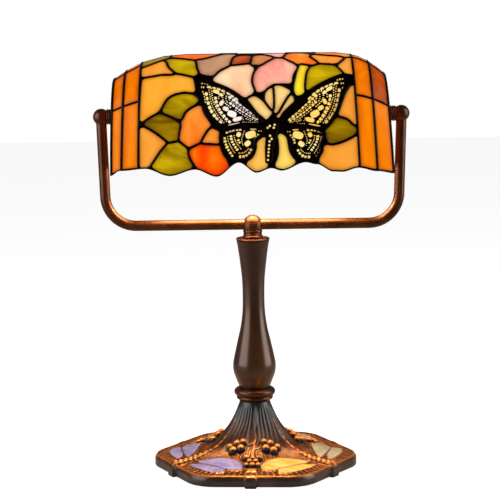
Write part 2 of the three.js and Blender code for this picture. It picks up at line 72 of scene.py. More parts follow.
def make_object(name, vertices, faces, material, smooth=True):
    mesh = bpy.data.meshes.new(name)
    mesh.from_pydata((np.asarray(vertices, float) * MM).tolist(), [], faces)
    mesh.materials.append(material)
    mesh.polygons.foreach_set("use_smooth", [smooth] * len(mesh.polygons))
    mesh.update()
    obj = bpy.data.objects.new(name, mesh)
    bpy.context.scene.collection.objects.link(obj)
    return obj


def register(obj, body, slot, *nodes):
    """Puts a piece on the body that it rides and hides the CAD nodes that it stands for. slot, what it is
    made of, is not used.
    """
    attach(obj, body)
    if nodes:
        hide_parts(*nodes)


def add_attribute(obj, name, values):
    layer = obj.data.attributes.new(name, "FLOAT", "POINT")
    layer.data.foreach_set("value", np.asarray(values, np.float32))


def grid_faces(rows, columns, wrap=False, flip=False):
    """Quads of a grid whose vertices are numbered row by row."""
    faces = []
    last = columns if wrap else columns - 1
    for r in range(rows - 1):
        for c in range(last):
            d = (c + 1) % columns
            quad = (r * columns + c, r * columns + d, (r + 1) * columns + d, (r + 1) * columns + c)
            faces.append(quad[::-1] if flip else quad)
    return faces


def lathe(profile, segments=96, closed=False):
    """Vertices and faces of [radius, height] pairs turned about Z, going up the outside."""
    profile = np.asarray(profile, float)
    angle = np.arange(segments) * 2 * math.pi / segments
    vertices = np.stack([
        profile[:, None, 0] * np.cos(angle), profile[:, None, 0] * np.sin(angle),
        np.broadcast_to(profile[:, None, 1], (len(profile), segments)),
    ], -1).reshape(-1, 3)
    faces = grid_faces(len(profile), segments, wrap=True)
    if closed:
        first = (len(profile) - 1) * segments
        faces += [(first + c, first + (c + 1) % segments, (c + 1) % segments, c) for c in range(segments)]
    return vertices, faces


def spline(points, count):
    """A smooth curve through points, ends included."""
    points = np.asarray(points, float)
    padded = np.vstack([2 * points[0] - points[1], points, 2 * points[-1] - points[-2]])
    t = np.linspace(0, len(points) - 1 - 1e-9, count)
    i = t.astype(int)
    f = (t - i)[:, None]
    a, b, c, d = padded[i], padded[i + 1], padded[i + 2], padded[i + 3]
    return 0.5 * (2 * b + (c - a) * f + (2 * a - 5 * b + 4 * c - d) * f**2 + (3 * b - a - 3 * c + d) * f**3)


def smoothstep(value, low, high):
    t = np.clip((np.asarray(value, float) - low) / (high - low), 0, 1)
    return t * t * (3 - 2 * t)


# ---------------------------------------------------------------- materials

def add_node(tree, kind, sockets=None, **settings):
    """A new shader node, with settings, and a value or another node's output for each named socket."""
    node = tree.nodes.new("ShaderNode" + kind)
    for name, value in settings.items():
        setattr(node, name, value)
    fill(tree, node, sockets or {})
    return node


def fill(tree, node, sockets):
    for name, value in sockets.items():
        socket = node.inputs[name]
        if isinstance(value, bpy.types.NodeSocket):
            tree.links.new(value, socket)
        else:
            socket.default_value = (*value, 1) if socket.type == "RGBA" else value


def new_material(name):
    material = bpy.data.materials.new(name)
    material.use_nodes = True
    return material, material.node_tree, material.node_tree.nodes["Principled BSDF"]


def object_place(tree):
    return add_node(tree, "TexCoord").outputs["Object"]


def noise(tree, scale, detail=4.0, stretch=(1, 1, 1), distortion=0.0):
    mapping = add_node(tree, "Mapping", {"Vector": object_place(tree), "Scale": stretch})
    return add_node(tree, "TexNoise", {
        "Vector": mapping.outputs["Vector"], "Scale": scale, "Detail": detail, "Distortion": distortion,
    }).outputs["Fac"]


def ramp(tree, source, stops):
    node = add_node(tree, "ValToRGB", {"Fac": source})
    elements = node.color_ramp.elements
    while len(elements) < len(stops):
        elements.new(0.5)
    for element, (position, colour) in zip(elements, stops):
        element.position = position
        element.color = (*colour, 1)
    return node.outputs["Color"]


def mix(tree, factor, first, second, blend="MIX"):
    sockets = {"Factor": factor, "A": first, "B": second}
    return add_node(tree, "Mix", sockets, data_type="RGBA", blend_type=blend).outputs["Result"]


def map_range(tree, value, start, to=(0.0, 1.0), kind="LINEAR"):
    return add_node(tree, "MapRange", {
        "Value": value, "From Min": start[0], "From Max": start[1], "To Min": to[0], "To Max": to[1],
    }, interpolation_type=kind).outputs["Result"]


def calculate(tree, operation, *values):
    return add_node(tree, "Math", dict(enumerate(values)), operation=operation).outputs[0]


def bump(tree, shader, source, strength, distance):
    node = add_node(tree, "Bump", {"Strength": strength, "Distance": distance, "Height": source})
    fill(tree, shader, {"Normal": node.outputs["Normal"]})


def srgb(code):
    """Linear colour of a hexadecimal sRGB code."""
    parts = [int(code[i:i + 2], 16) / 255 for i in (0, 2, 4)]
    return tuple(p / 12.92 if p <= 0.04045 else ((p + 0.055) / 1.055) ** 2.4 for p in parts)


ROUGH = (0.26, 0.42)  # roughness of the bronze, in its dark patches and in its light ones
COOL_HEIGHTS = (0.024, 0.056)  # between these heights above the table the cast bronze turns to cool grey, a painted reflection of the cool room on the upper cone
BULB_FRONT = (-0.010, -SHADE_DEPTH * MM, (PIVOT_Z + 13) * MM)  # the place on the glass nearest to the bulb, where its painted glow is brightest
WARM_REACH = 0.030  # how far the bulb's painted white glow spreads in the glass round that place


def relief_copper_and_glint(tree, patches, colour, copper):
    """The cone and the berries keep a cool grey skin, and what stands up turns copper. The grey is painted: a
    reflection of the cool room up the cone, and painted shade on the berries' lower sides. The copper is
    partly from rubbing and partly a painted warm highlight where the lamp's light falls.
    """
    height = add_node(tree, "SeparateXYZ", {"Vector": object_place(tree)}).outputs["Z"]
    # The relief attribute holds copper from rubbing together with painted highlight where the lamp's light
    # falls; its values under zero paint cool grey.
    raised = add_node(tree, "Attribute", attribute_name="raised").outputs["Fac"]
    cool = calculate(tree, "MAXIMUM", map_range(tree, height, COOL_HEIGHTS, kind="SMOOTHSTEP"),
                     map_range(tree, raised, (0.0, -0.5)))
    grey = ramp(tree, patches, [(0.35, (0.019, 0.018, 0.0185)), (0.68, (0.045, 0.043, 0.043))])
    # Copper mask: rubbed relief and painted warm highlight together.
    lift = calculate(tree, "MULTIPLY_ADD", noise(tree, 160, 3), 0.5, raised)
    worn_and_lit = ramp(tree, lift, [(0.5, (0, 0, 0)), (1.15 / 1.2, (1, 1, 1))])
    return mix(tree, worn_and_lit, mix(tree, cool, colour, grey), copper)


def metal(name, dark, light, copper=None, streaks=(1, 1, 1), coat=0.6, metallic=0.7):
    """An antique finish in dark and light patches, with copper showing on a casting's relief, partly from
    rubbing and partly a painted highlight of the lamp's warm light.
    """
    material, tree, shader = new_material(name)
    patches = noise(tree, 45, 5, streaks)
    colour = ramp(tree, patches, [(0.35, dark), (0.68, light)])
    if copper:
        colour = relief_copper_and_glint(tree, patches, colour, copper)
    fill(tree, shader, {
        "Base Color": colour, "Roughness": map_range(tree, patches, (0.0, 1.0), ROUGH), "Metallic": metallic,
        "Specular IOR Level": 0.25, "Coat Weight": coat, "Coat Roughness": 0.22})
    bump(tree, shader, noise(tree, 260, 3, streaks), 0.25, 0.0004)
    return material


def glass(name, deep, pale, scale=22, stretch=(1, 1, 1), glow=1.0, warm=None):
    """Streaky opalescent glass whose glow is painted: its emission stands in for the bulb's light coming
    through it. warm is the colour of the painted glow near the bulb.
    """
    material, tree, shader = new_material(name)
    colour = ramp(tree, noise(tree, scale, 3, stretch, 1.2), [(0.36, deep), (0.64, pale)])
    if warm:
        gap = add_node(tree, "VectorMath", {0: object_place(tree), 1: BULB_FRONT}, operation="DISTANCE")
        near = map_range(tree, gap.outputs["Value"], (WARM_REACH / 4, WARM_REACH), (1.0, 0.0), "SMOOTHSTEP")
        colour = mix(tree, near, colour, warm)
    # Painted shade: each pane is darkened towards its lead and full bright towards its middle.
    inward = add_node(tree, "Attribute", attribute_name="inward").outputs["Fac"]
    colour = mix(tree, 1.0, colour, ramp(tree, inward, [
        (0.0, (0.52, 0.46, 0.42)), (0.45, (0.88, 0.86, 0.84)), (1.0, (1.0, 1.0, 1.0))]), "MULTIPLY")
    fill(tree, shader, {
        "Base Color": mix(tree, 1.0, colour, (0.12, 0.12, 0.12), "MULTIPLY"), "Emission Color": colour,
        "Emission Strength": glow, "Roughness": 0.22, "Specular IOR Level": 0.05})
    bump(tree, shader, noise(tree, 70, 2, stretch), 0.3, 0.0006)
    return material


def set_glass(name, deep, pale):
    """The unlit glass of the dragonflies' wings."""
    material, tree, shader = new_material(name)
    colour = ramp(tree, noise(tree, 60, 3, (1, 2.2, 1), 0.8), [(0.35, deep), (0.66, pale)])
    fill(tree, shader, {"Base Color": colour, "Roughness": 0.18, "Coat Weight": 0.4, "Coat Roughness": 0.08})
    bump(tree, shader, noise(tree, 150, 2), 0.25, 0.0004)
    return material


def plain(name, dark, light, rough, metallic=0.0, scale=300, strength=0.2):
    material, tree, shader = new_material(name)
    speckle = noise(tree, scale, 4)
    colour = ramp(tree, speckle, [(0.35, dark), (0.65, light)])
    fill(tree, shader, {"Base Color": colour, "Roughness": rough, "Metallic": metallic})
    bump(tree, shader, speckle, strength, 0.0003)
    return material


def bulb_glow(name):
    material, tree, shader = new_material(name)
    colour = ramp(tree, noise(tree, 30, 2), [(0.3, srgb("fff0cf")), (0.7, srgb("fff8e6"))])
    fill(tree, shader, {
        "Base Color": (0.8, 0.78, 0.72), "Roughness": 0.35,
        "Emission Color": colour, "Emission Strength": 1.6})
    return material


BRONZE = metal("bronze", (0.050, 0.0130, 0.0025), (0.100, 0.029, 0.0065), coat=0.22)
BRONZE_COLUMN = metal("bronze_column", (0.038, 0.0110, 0.0018), (0.074, 0.0270, 0.0050),
                      streaks=(1, 1, 0.15), coat=0.7, metallic=0.6)
BRONZE_CAST = metal("bronze_cast", (0.044, 0.0150, 0.0045), (0.085, 0.0280, 0.0080),
                    copper=(0.76, 0.25, 0.040), coat=0.4, metallic=0.6)
SOLDER = plain("solder", (0.004, 0.0028, 0.0025), (0.012, 0.008, 0.007), 0.34, 1.0, 220, 0.35)
FILIGREE = plain("filigree", (0.006, 0.0022, 0.0012), (0.014, 0.005, 0.003), 0.42, 1.0, 300, 0.3)
BRASS = plain("brass", srgb("8f6f38"), srgb("b8924f"), 0.35, 1.0)
STEEL = plain("steel", srgb("7f7f7d"), srgb("a3a3a1"), 0.4, 1.0)
IRON = plain("iron", srgb("232323"), srgb("3c3c3b"), 0.7, 0.7, 120, 0.6)
FELT = plain("felt", srgb("1b2a1f"), srgb("33463a"), 1.0, 0.0, 900, 0.8)
BAKELITE = plain("bakelite", srgb("111111"), srgb("1f1f1f"), 0.45)
BULB = bulb_glow("bulb")

# The glass of the shade: deep and pale colour of its streaks, their scale, and how they are stretched.
TONES = {
    "bar": ("ee7400", "fc8804", 22, (3, 3, 0.6)),
    # The next two are darker copies of the bar glass, painted shade where the bulb's light is weaker: up the
    # strips, and at the far right end.
    "bar_high": ("e06800", "f47c00", 22, (3, 3, 0.6)),
    "bar_deep": ("9c3602", "c85404", 22, (3, 3, 0.6)),
    "amber": ("ea921a", "ffb136", 14, (1, 1, 1)),
    "honey": ("ee9026", "ffac46", 14, (1, 1, 1)),
    "gold": ("f3a63c", "ffc85e", 16, (1.5, 1, 0.6)),
    "straw": ("f8c248", "ffe676", 16, (1.5, 1, 0.6)),
    "orange": ("f98026", "ffa03c", 22, (1, 1, 2)),
    "coral": ("fb7218", "ffa03a", 16, (2, 1, 0.7)),
    "scarlet": ("ff4600", "ff7608", 22, (2.5, 1, 0.8)),
    "olive": ("8d7000", "cfae08", 18, (1, 1, 2.5)),
    "moss": ("735200", "ab8a04", 18, (1, 1, 2.5)),
    "mauve": ("98725e", "c8946e", 16, (1, 1, 1)),
    "russet": ("a83a14", "c85a2c", 22, (1, 1, 1)),
    "tan": ("cc7c48", "e89660", 22, (1, 1, 1)),
    "peach": ("fcb48c", "ffdcb0", 16, (1, 1, 1)),
    "pink": ("f69484", "ffc0a4", 22, (2.5, 1, 0.8)),
    "cream": ("eeb660", "ffd888", 22, (1, 1, 1)),
    "yellow": ("ffc800", "fff23a", 22, (3, 1, 0.5)),
}
GLASSES = {tone: glass("glass_" + tone, srgb(deep), srgb(pale), scale, stretch)
           for tone, (deep, pale, scale, stretch) in TONES.items()}
# The wing glass takes the painted white glow of the bulb near it.
GLASSES["wing"] = glass("glass_wing", srgb("ffcf62"), srgb("ffee9c"), glow=1.05, warm=(0.93, 0.83, 0.78))
FLY_GLASSES = {tone: set_glass("fly_" + tone, srgb(deep), srgb(pale)) for tone, deep, pale in (
    ("lilac", "7a78b6", "a09acc"), ("amber", "e0a23e", "f6cc7c"), ("cream", "a39c80", "bcb598"))}


# ---------------------------------------------------------------- the vault of the shade

TAPER = np.array([
    (-125.5, 0.78), (-115, 0.858), (-100, 0.932), (-80, 0.985), (-60, 1),
    (60, 1), (80, 1), (94.5, 0.982), (102, 0.962), (111, 0.917), (120, 0.853), (125.5, 0.80),
])
# The shade narrows a little towards its crown: shift along X for each 90 mm of height, at each x.
LEAN = np.array([(-125.5, -1.8), (-115, -3.3), (-100, -2.2), (0, 0), (94.5, 4.4), (125.5, 5.6)])
LEVEL = RIM + 14  # where the lean is nothing
RIM_WAVE = np.array([
    (-125.5, -4.5), (-116, 0.6), (-94, 2.9), (-72, -3.6), (-50, 1.9), (-31, -4.6), (-11.5, 7.5), (4, -1.5),
    (17, 2.3), (26, 0), (47, 7.1), (57, 5.2), (71, -1.3), (79, -1.7), (93, 1.6), (110, -2.1), (125.5, -5),
])
LINES = {"left": (-115.0, -100.0), "right": (94.5, 110.0)}
LEAD = 1.05  # half the width of a lead line
NUDGE = 0.8  # the pattern sits this much to the right of the middle
SQUEEZE = 0.198  # the back half of the vault is shorter, so its pattern is pressed together towards the ridge
SIGHT = 0.073  # rise of the sight line with depth, in the elevation that the pattern is drawn in
DRAWN_RIDGE = 120.0  # the height that stands for the ridge in that elevation

TURNS = np.linspace(0, RIDGE, 700)


def arch(turn):
    angle = np.asarray(turn) * math.pi
    across = np.sign(np.cos(angle)) * np.abs(np.cos(angle)) ** (2 / POWER)
    return across, np.abs(np.sin(angle)) ** (2 / POWER)


ACROSS, UP = arch(TURNS)
ARC = np.concatenate([[0], np.cumsum(np.hypot(np.diff(ACROSS * SHADE_DEPTH), np.diff(UP * CROWN)))])
SHEET_TOP = ARC[-1]


def wave(x):
    at = np.searchsorted(RIM_WAVE[1:-1, 0], x)
    x0, v0 = RIM_WAVE[at].T
    x1, v1 = RIM_WAVE[at + 1].T
    return v0 + (v1 - v0) * smoothstep((x - x0) / (x1 - x0), 0, 1)


def vault(x, h, out, back=False):
    """Points of the shade. x is along it, h up the sheet from the rim line, and out is over its surface."""
    x, h, out = np.broadcast_arrays(*(np.asarray(v, float) for v in (x, h, out)))
    turn = np.interp(np.maximum(h, 0), ARC, TURNS)
    if back:
        turn = turn * (1 - SQUEEZE * turn / RIDGE)
    across, up = arch(turn)
    real = -x if back else x
    scale = np.interp(real, TAPER[:, 0], TAPER[:, 1])
    y = -across * (scale * SHADE_DEPTH + out)
    z = RIM + up * (scale * CROWN + out) + np.minimum(h, 0)
    real = real - np.interp(real, LEAN[:, 0], LEAN[:, 1]) * (z - LEVEL) / 90
    return np.stack([real, -y if back else y, z], -1)


def on_sheet(points):
    """Turns points drawn in elevation, (x, height over the rim line), into places on the sheet."""
    placed = []
    for x, v in points:
        x += NUDGE
        scale = np.interp(x, TAPER[:, 0], TAPER[:, 1])
        seen = scale * CROWN * UP + (SHADE_DEPTH - scale * SHADE_DEPTH * ACROSS) * SIGHT
        top = int(np.argmax(seen))
        if v <= seen[0]:
            h = v - seen[0]
        elif v < seen[top]:
            h = np.interp(v, seen[:top + 1], ARC[:top + 1])
        else:
            h = ARC[top] + (v - seen[top]) / (DRAWN_RIDGE - seen[top]) * (SHEET_TOP - ARC[top])
        z = RIM + scale * CROWN * np.interp(max(h, 0), ARC, UP)
        placed.append((x + np.interp(x, LEAN[:, 0], LEAN[:, 1]) * (z - LEVEL) / 90, h))
    return np.array(placed)


def rounded(points, corner=50, step=1.5):
    """A closed outline through points, smooth except where it turns by more than corner degrees."""
    points = np.asarray(points, float)
    after = np.roll(points, -1, 0) - points
    before = points - np.roll(points, 1, 0)
    turn = np.degrees(np.abs(np.angle(
        (after[:, 0] + 1j * after[:, 1]) / (before[:, 0] + 1j * before[:, 1])
    )))
    along = (after / np.hypot(*after.T)[:, None] + before / np.hypot(*before.T)[:, None]) / 2
    outline = []
    for i in range(len(points)):
        j = (i + 1) % len(points)
        edge = points[j] - points[i]
        length = np.hypot(*edge)
        leave = edge if turn[i] > corner else along[i] * length
        reach = edge if turn[j] > corner else along[j] * length
        steps = max(2, int(math.ceil(length / step)))
        t = (np.arange(steps) / steps)[:, None]
        outline.append(
            (2 * t**3 - 3 * t**2 + 1) * points[i] + (t**3 - 2 * t**2 + t) * leave
            + (3 * t**2 - 2 * t**3) * points[j] + (t**3 - t**2) * reach
        )
    outline = np.vstack(outline)
    for _ in range(2):  # takes the sharp points off
        outline = 0.5 * outline + 0.25 * np.roll(outline, 1, 0) + 0.25 * np.roll(outline, -1, 0)
    return outline


def distance_to(outlines, x, h, margin=4.0):
    """Distance from each point to the nearest outline, negative inside one."""
    x, h = np.asarray(x, float), np.asarray(h, float)
    best = np.full(x.shape, margin)
    for outline in outlines:
        low, high = outline.min(0) - margin, outline.max(0) + margin
        near = (x > low[0]) & (x < high[0]) & (h > low[1]) & (h < high[1])
        if not near.any():
            continue
        px, ph = x[near], h[near]
        gap = np.full(px.shape, 1e9)
        inside = np.zeros(px.shape, bool)
        for (ax, ay), (bx, by) in zip(outline, np.roll(outline, -1, 0)):
            dx, dy = bx - ax, by - ay
            t = np.clip(((px - ax) * dx + (ph - ay) * dy) / (dx * dx + dy * dy + 1e-12), 0, 1)
            gap = np.minimum(gap, (px - ax - t * dx) ** 2 + (ph - ay - t * dy) ** 2)
            if by != ay:
                inside ^= ((ay > ph) != (by > ph)) & (px < dx * (ph - ay) / dy + ax)
        signed = np.where(inside, -1, 1) * np.sqrt(gap)
        best[near] = np.minimum(best[near], signed)
    return best


# Each piece of glass on one face of the shade: its colour and its outline in elevation.
# Heights over 105 are beyond the crown, up to the ridge at 120.
FIELD = [
    ("honey", [(-96.5, 90.9), (-80, 97.2), (-77.5, 96.9), (-75, 92.5), (-69.5, 86.5), (-96.5, 85)]),
    ("amber", [(-96, 82), (-63.5, 84.5), (-53, 82), (-51, 71), (-68, 69.5), (-75.5, 65), (-80, 59.5),
               (-83.5, 54.5), (-98, 45.5)]),
    ("olive", [(-75, 99), (-50, 96), (-48, 87.5), (-51, 85), (-61, 87), (-71.5, 91.5)]),
    ("olive", [(-73.5, 64), (-68, 67), (-55, 68), (-48, 63), (-58.5, 54), (-62, 47), (-78, 53.5)]),
    ("moss", [(-94.5, 43), (-89, 47.5), (-82, 50), (-73, 47), (-64, 41), (-67, 28.5), (-72, 27.5),
              (-83, 35)]),
    ("honey", [(-98.3, 38.5), (-94.5, 38), (-76.5, 26.5), (-92, 6.5), (-98.3, 3.8)]),
    ("olive", [(-88.5, 5.5), (-80.5, 18), (-74, 23.5), (-68, 25.5), (-60, 21), (-57.5, 10.5), (-54, 5),
               (-63.5, 0.5), (-73.5, -1), (-83, 2)]),
    ("coral", [(-45.5, 57.5), (-41, 46), (-37.5, 41), (-42, 36), (-47.5, 27), (-56.5, 23), (-61.5, 26.5),
               (-63.5, 32), (-61.5, 41.5), (-58, 52)]),
    ("orange", [(-36.5, 37.3), (-29.5, 34), (-29.5, 25), (-44, 26), (-40, 32.5)]),
    ("scarlet", [(-55.5, 17.5), (-47.5, 22.5), (-29.5, 22.5), (-26, 14.5), (-22, 3), (-28, -2.3), (-36, -2.6),
                 (-47.5, 4)]),
    ("olive", [(-97, 94.2), (-80, 100.0), (-75.5, 101.4), (-74, 118.8), (-97.5, 118.8)]),
    ("scarlet", [(-71, 102.2), (-56, 100.5), (-45, 100.2), (-32, 102.4), (-30, 118.8), (-71, 118.8)]),
    ("mauve", [(-47.5, 97.5), (-40, 99), (-27, 102.6), (-17, 103.4), (-21, 93.5), (-29, 90), (-35, 85),
               (-44, 87), (-48, 92)]),
    ("russet", [(-15.5, 100.5), (-3, 101.3), (-1.5, 98.7), (-5, 95), (-18, 94)]),
    ("tan", [(0.5, 99.5), (8.5, 101.5), (16.5, 99.8), (8.5, 93.9), (2.5, 94.3)]),
    ("mauve", [(-26.5, 106), (-15, 106), (-14, 118.8), (-26.5, 118.8)]),
    ("pink", [(-12, 103.4), (8, 103.6), (17, 102.6), (26, 100.5), (29.5, 103), (29, 118.8), (-11, 118.8)]),
    ("coral", [(44, 106.5), (55, 104), (57, 118.8), (32.5, 118.8), (32.5, 107)]),
    ("coral", [(61, 102.4), (74, 101), (86, 100.8), (91, 104), (91, 118.8), (60, 118.8)]),
    ("coral", [(31.5, 102.5), (40.5, 103.8), (48.5, 102.3), (57.5, 95), (55, 93.5), (42.5, 95.4),
               (33.5, 98.7)]),
    ("orange", [(52, 100.7), (58.5, 101.3), (80.5, 99.7), (76, 95.3), (64.5, 94.6), (57.5, 97.5)]),
    ("peach", [(-33.5, 80.5), (-27, 87.5), (-18, 92), (-4.5, 94), (1.3, 90.5), (-1.5, 83.5), (-1.5, 77),
               (1, 72), (-1.5, 67.5), (-5, 65.7), (-11.5, 68.5), (-22, 75)]),
    ("pink", [(8.5, 91.5), (20, 97), (25.5, 98.3), (39.5, 91.5), (35, 84), (34, 77.5), (24.5, 78), (17, 77),
              (12, 72.5), (5.5, 70), (2.6, 75.5), (2.6, 82.5)]),
    ("cream", [(-3.3, 64.5), (2, 64.8), (12.5, 56.5), (17, 52), (11.5, 45.5), (4.5, 54)]),
    ("cream", [(12.6, 63.6), (14.1, 71.4), (17.9, 73), (18.8, 67), (18.6, 55.7), (17.6, 53.2)]),
    ("cream", [(20.2, 74), (24.9, 73.8), (33.3, 69.5), (29.4, 63), (22.9, 51.7), (19.9, 51.7)]),
    ("cream", [(34.1, 66.7), (36.5, 60.4), (30.2, 55.5), (22.2, 47), (24.2, 51.2), (29.8, 60.5)]),
    ("gold", [(10.7, 29.4), (9.7, 22), (12.2, 4.1), (5.2, 0.3), (-2, 2.3), (-4.8, 5.7), (1, 13.6), (3.5, 20),
               (6.3, 26.6)]),
    ("straw", [(23.3, 31.9), (27.6, 30), (30.3, 25.4), (31.7, 17.8), (34, 12.1), (37.2, 8.4), (32.6, 4.2),
               (27, 2.6), (20.4, 4), (23.8, 12.3), (24.7, 21.7)]),
    ("yellow", [(44, 92.7), (49.6, 91.6), (46.2, 83.2), (45, 68.7), (39.9, 66.5), (38.6, 70.2),
                (40.6, 82.4)]),
    ("olive", [(50.9, 87.8), (54.1, 90.5), (60.7, 92.3), (70.9, 91.7), (77.4, 87.8), (80.1, 84.5),
               (63.4, 79.2), (48.2, 71), (49.3, 80.4)]),
    ("honey", [(87.5, 98), (92.5, 98), (92.5, 85), (87, 85.3), (83, 86.3), (77.5, 91.6), (82.5, 95.3)]),
    ("honey", [(89, 74), (92.5, 72), (92.5, 41), (89, 41), (84.3, 45.1), (76.9, 48.6), (80.7, 58.3),
               (84.7, 67.7)]),
    ("moss", [(65.5, 34.3), (70.4, 41.7), (76.9, 45.3), (83.4, 43.8), (90.3, 35.8), (89.5, 32.9),
              (82.3, 28.5), (73.9, 24.9), (68.3, 24), (66, 30.5)]),
    ("honey", [(63.5, 20.7), (72.8, 21.5), (81.3, 23.7), (92.5, 29), (92.5, 3.6), (76.5, 0.4), (69, 0.9),
               (59.3, 7.2)]),
]

# The wings of the butterfly, in the same elevation: the outline of each pierced part.
WINGS = [
    [(-46, 79), (-31.5, 75), (-19.5, 69.5), (-10.5, 63), (1.8, 49.3), (9.2, 43.5), (8.5, 42), (-9, 42),
     (-23.5, 38.7), (-33.5, 45.3), (-39.7, 52.6), (-42.3, 61.7), (-45.8, 71.6)],
    [(-26.3, 34.2), (-10, 38), (2, 38), (9.2, 36.4), (9, 34.4), (1, 27.7), (0, 19.2), (-4, 12.7),
     (-10.3, 11.3), (-18.5, 10.5), (-23, 16), (-26, 25)],
    [(82, 82.7), (63.5, 75), (49.2, 66.3), (37.8, 57.2), (26.8, 44.6), (27, 43), (35.8, 41.7), (48.9, 40.1),
     (60, 37.1), (65.3, 40.8), (70, 47.2), (74.3, 54.7), (76.3, 62.2), (78.7, 69.7), (82.5, 74.8)],
    [(26.8, 35.6), (33.8, 37.4), (45, 38.3), (58, 34.4), (61.9, 32.4), (60.8, 27.7), (58.4, 22.1),
     (59.3, 18.4), (56.9, 14.7), (54.5, 9.1), (48.5, 10.5), (40.9, 9.7), (35.4, 17.7), (33.7, 27.2),
     (31.9, 32.8)],
]
# Rows of small openings in the left wings: the line they follow, how many, and their width at both ends.
FORE_ROWS = [
    ([(-40, 74.8), (-31, 73), (-21, 68.6), (-12, 62.2)], 7, 2.2, 2.4),
    ([(-21, 66.2), (-12, 59.6), (-3, 52.7), (6.5, 46.0)], 9, 2.6, 1.3),
    ([(-20.8, 63.6), (-12.4, 57.4), (-3.4, 51.2), (5.6, 45.4)], 13, 1.1, 0.8),
    ([(-20.4, 61), (-12.4, 55), (-3.8, 49.5), (5.2, 44.7)], 9, 2.4, 1.2),
    ([(-15.6, 54.6), (-10, 51), (-4, 47.4), (3.5, 44.2)], 9, 1.1, 0.8),
    ([(-24, 69.2), (-26, 66), (-25.2, 62), (-22.4, 59), (-18.4, 56)], 9, 1.5, 1.4),
    ([(-22.4, 67.0), (-22.9, 63.6), (-21.4, 60.2)], 4, 1.4, 1.3),
    ([(-9.5, 48.6), (-7.6, 45)], 3, 1.1, 1.1),
    ([(-6, 46.4), (-1, 44.6)], 3, 1.3, 1.1),
    ([(-36, 74), (-35.2, 68.4), (-34.6, 63.1), (-31.4, 56.1), (-26.8, 49.1), (-22, 43.4)], 17, 1.3, 1.2),
    ([(-32.4, 66.4), (-30.9, 59.3), (-27.6, 52.8), (-23.2, 47), (-19, 42.6)], 8, 2.7, 2.4),
    ([(-29, 69), (-29.4, 63)], 3, 1.2, 1.2),
    ([(-38, 72.6), (-37, 67.4), (-36.3, 62), (-33.7, 55), (-29.3, 48), (-24.4, 42.6)], 17, 1.2, 1.1),
    ([(-40.6, 70.4), (-38.8, 61.4), (-36.2, 54), (-31.9, 47.6), (-26.4, 42.4)], 8, 2.9, 2.7),
    ([(-45, 77.9), (-41.5, 77.6), (-38.2, 76.6)], 3, 1.8, 1.7),
    ([(-45, 74.4), (-41.5, 74.2)], 2, 2.1, 1.9),
    ([(-43.6, 71.6), (-42, 66.6), (-40.8, 60)], 5, 1.3, 1.2),
    ([(-22, 40.5), (-10.6, 43)], 1, 1.2, 1.2),
    ([(-9, 43.3), (5.5, 43.1)], 9, 1.0, 0.9),
]
FORE_SPOTS = [(-17.8, 50.6, 8.6, 5.8, -22), (-13.2, 46.0, 8.4, 3.9, 14), (-23.2, 55.2, 5.6, 3.9, -24),
              (-27, 60.2, 5.0, 3.6, 62), (-31.6, 70.3, 6.4, 3.4, -22), (-27.2, 67.6, 3.6, 3.0, -30)]
HIND_ROWS = [
    ([(-24, 33.8), (-17.5, 35.9), (-9, 36.6)], 5, 2.2, 2.0),
    ([(-2.8, 37.1), (3.8, 36.8)], 1, 1.1, 1.1),
    ([(4.8, 35.2), (8.4, 35.4)], 2, 1.4, 1.2),
    ([(5.9, 32.8), (2.4, 29.0), (1.2, 24.4)], 4, 2.1, 2.1),
    ([(-6.7, 36.2), (-8.4, 32), (-9.6, 27.6), (-8.4, 22.4)], 9, 1.1, 1.1),
    ([(-24.7, 30.8), (-23.8, 25), (-21.6, 19.5), (-17.4, 12.6)], 7, 2.8, 2.7),
    ([(-22, 31.6), (-21.2, 26.5), (-19, 21.5), (-15.5, 15.6)], 11, 1.3, 1.2),
    ([(-19.2, 32.4), (-18.3, 27.3), (-16.1, 22.8), (-12.8, 18)], 6, 2.7, 2.5),
    ([(-16.3, 32.4), (-15.4, 27.8), (-13, 23.5), (-9.8, 19)], 9, 1.3, 1.2),
    ([(-13.0, 28.6), (-10.9, 24.4)], 2, 2.3, 2.1),
    ([(-12.6, 12.7), (-7.5, 13), (-3.6, 15.4), (-0.9, 19.8)], 5, 2.8, 2.5),
    ([(-12.6, 16), (-8.3, 16.2), (-5, 18.2), (-3.4, 20.4)], 7, 1.3, 1.2),
]
HIND_SPOTS = [(-1.6, 32.2, 9.8, 6.6, 18), (-4.4, 24.4, 6.0, 4.8, 38), (-12.2, 32.4, 4.6, 4.0, 60)]
BODY_BEADS = [(15.4, 31), (16.8, 28.2), (14.9, 26), (14.6, 22.6), (14.2, 19.4), (13.9, 16.4), (13.6, 13.4),
              (13.3, 9.6), (13.4, 38), (15.3, 39.6), (18.8, 38), (19.6, 40.6)]


def opening(centre, ahead, length, width):
    """An opening with round corners, length along ahead."""
    turn = np.arange(12) * math.pi / 6
    u = np.sign(np.cos(turn)) * np.abs(np.cos(turn)) ** 0.7 * length / 2
    w = np.sign(np.sin(turn)) * np.abs(np.sin(turn)) ** 0.7 * width / 2
    ahead = np.asarray(ahead) / np.hypot(*ahead)
    return np.asarray(centre) + u[:, None] * ahead + w[:, None] * np.array([-ahead[1], ahead[0]])


def row_of_openings(path, count, first, last, bar=0.5):
    """Openings of about the same length in a row along path, with bars of metal between them."""
    line = spline(path, 60)
    run = np.concatenate([[0], np.cumsum(np.hypot(*np.diff(line, axis=0).T))])
    made = []
    for i in range(count):
        share = (i + 0.5) / count
        a, b, c = ([np.interp(at, run, line[:, k]) for k in (0, 1)] for at in run[-1] * np.array(
            [share - 0.02, share + rng.uniform(-0.08, 0.08) / count, share + 0.02]))
        width = (first + (last - first) * share) * rng.uniform(0.78, 1.16)
        made.append(opening(b, (c[0] - a[0], c[1] - a[1]), run[-1] / count - bar, width))
    return made


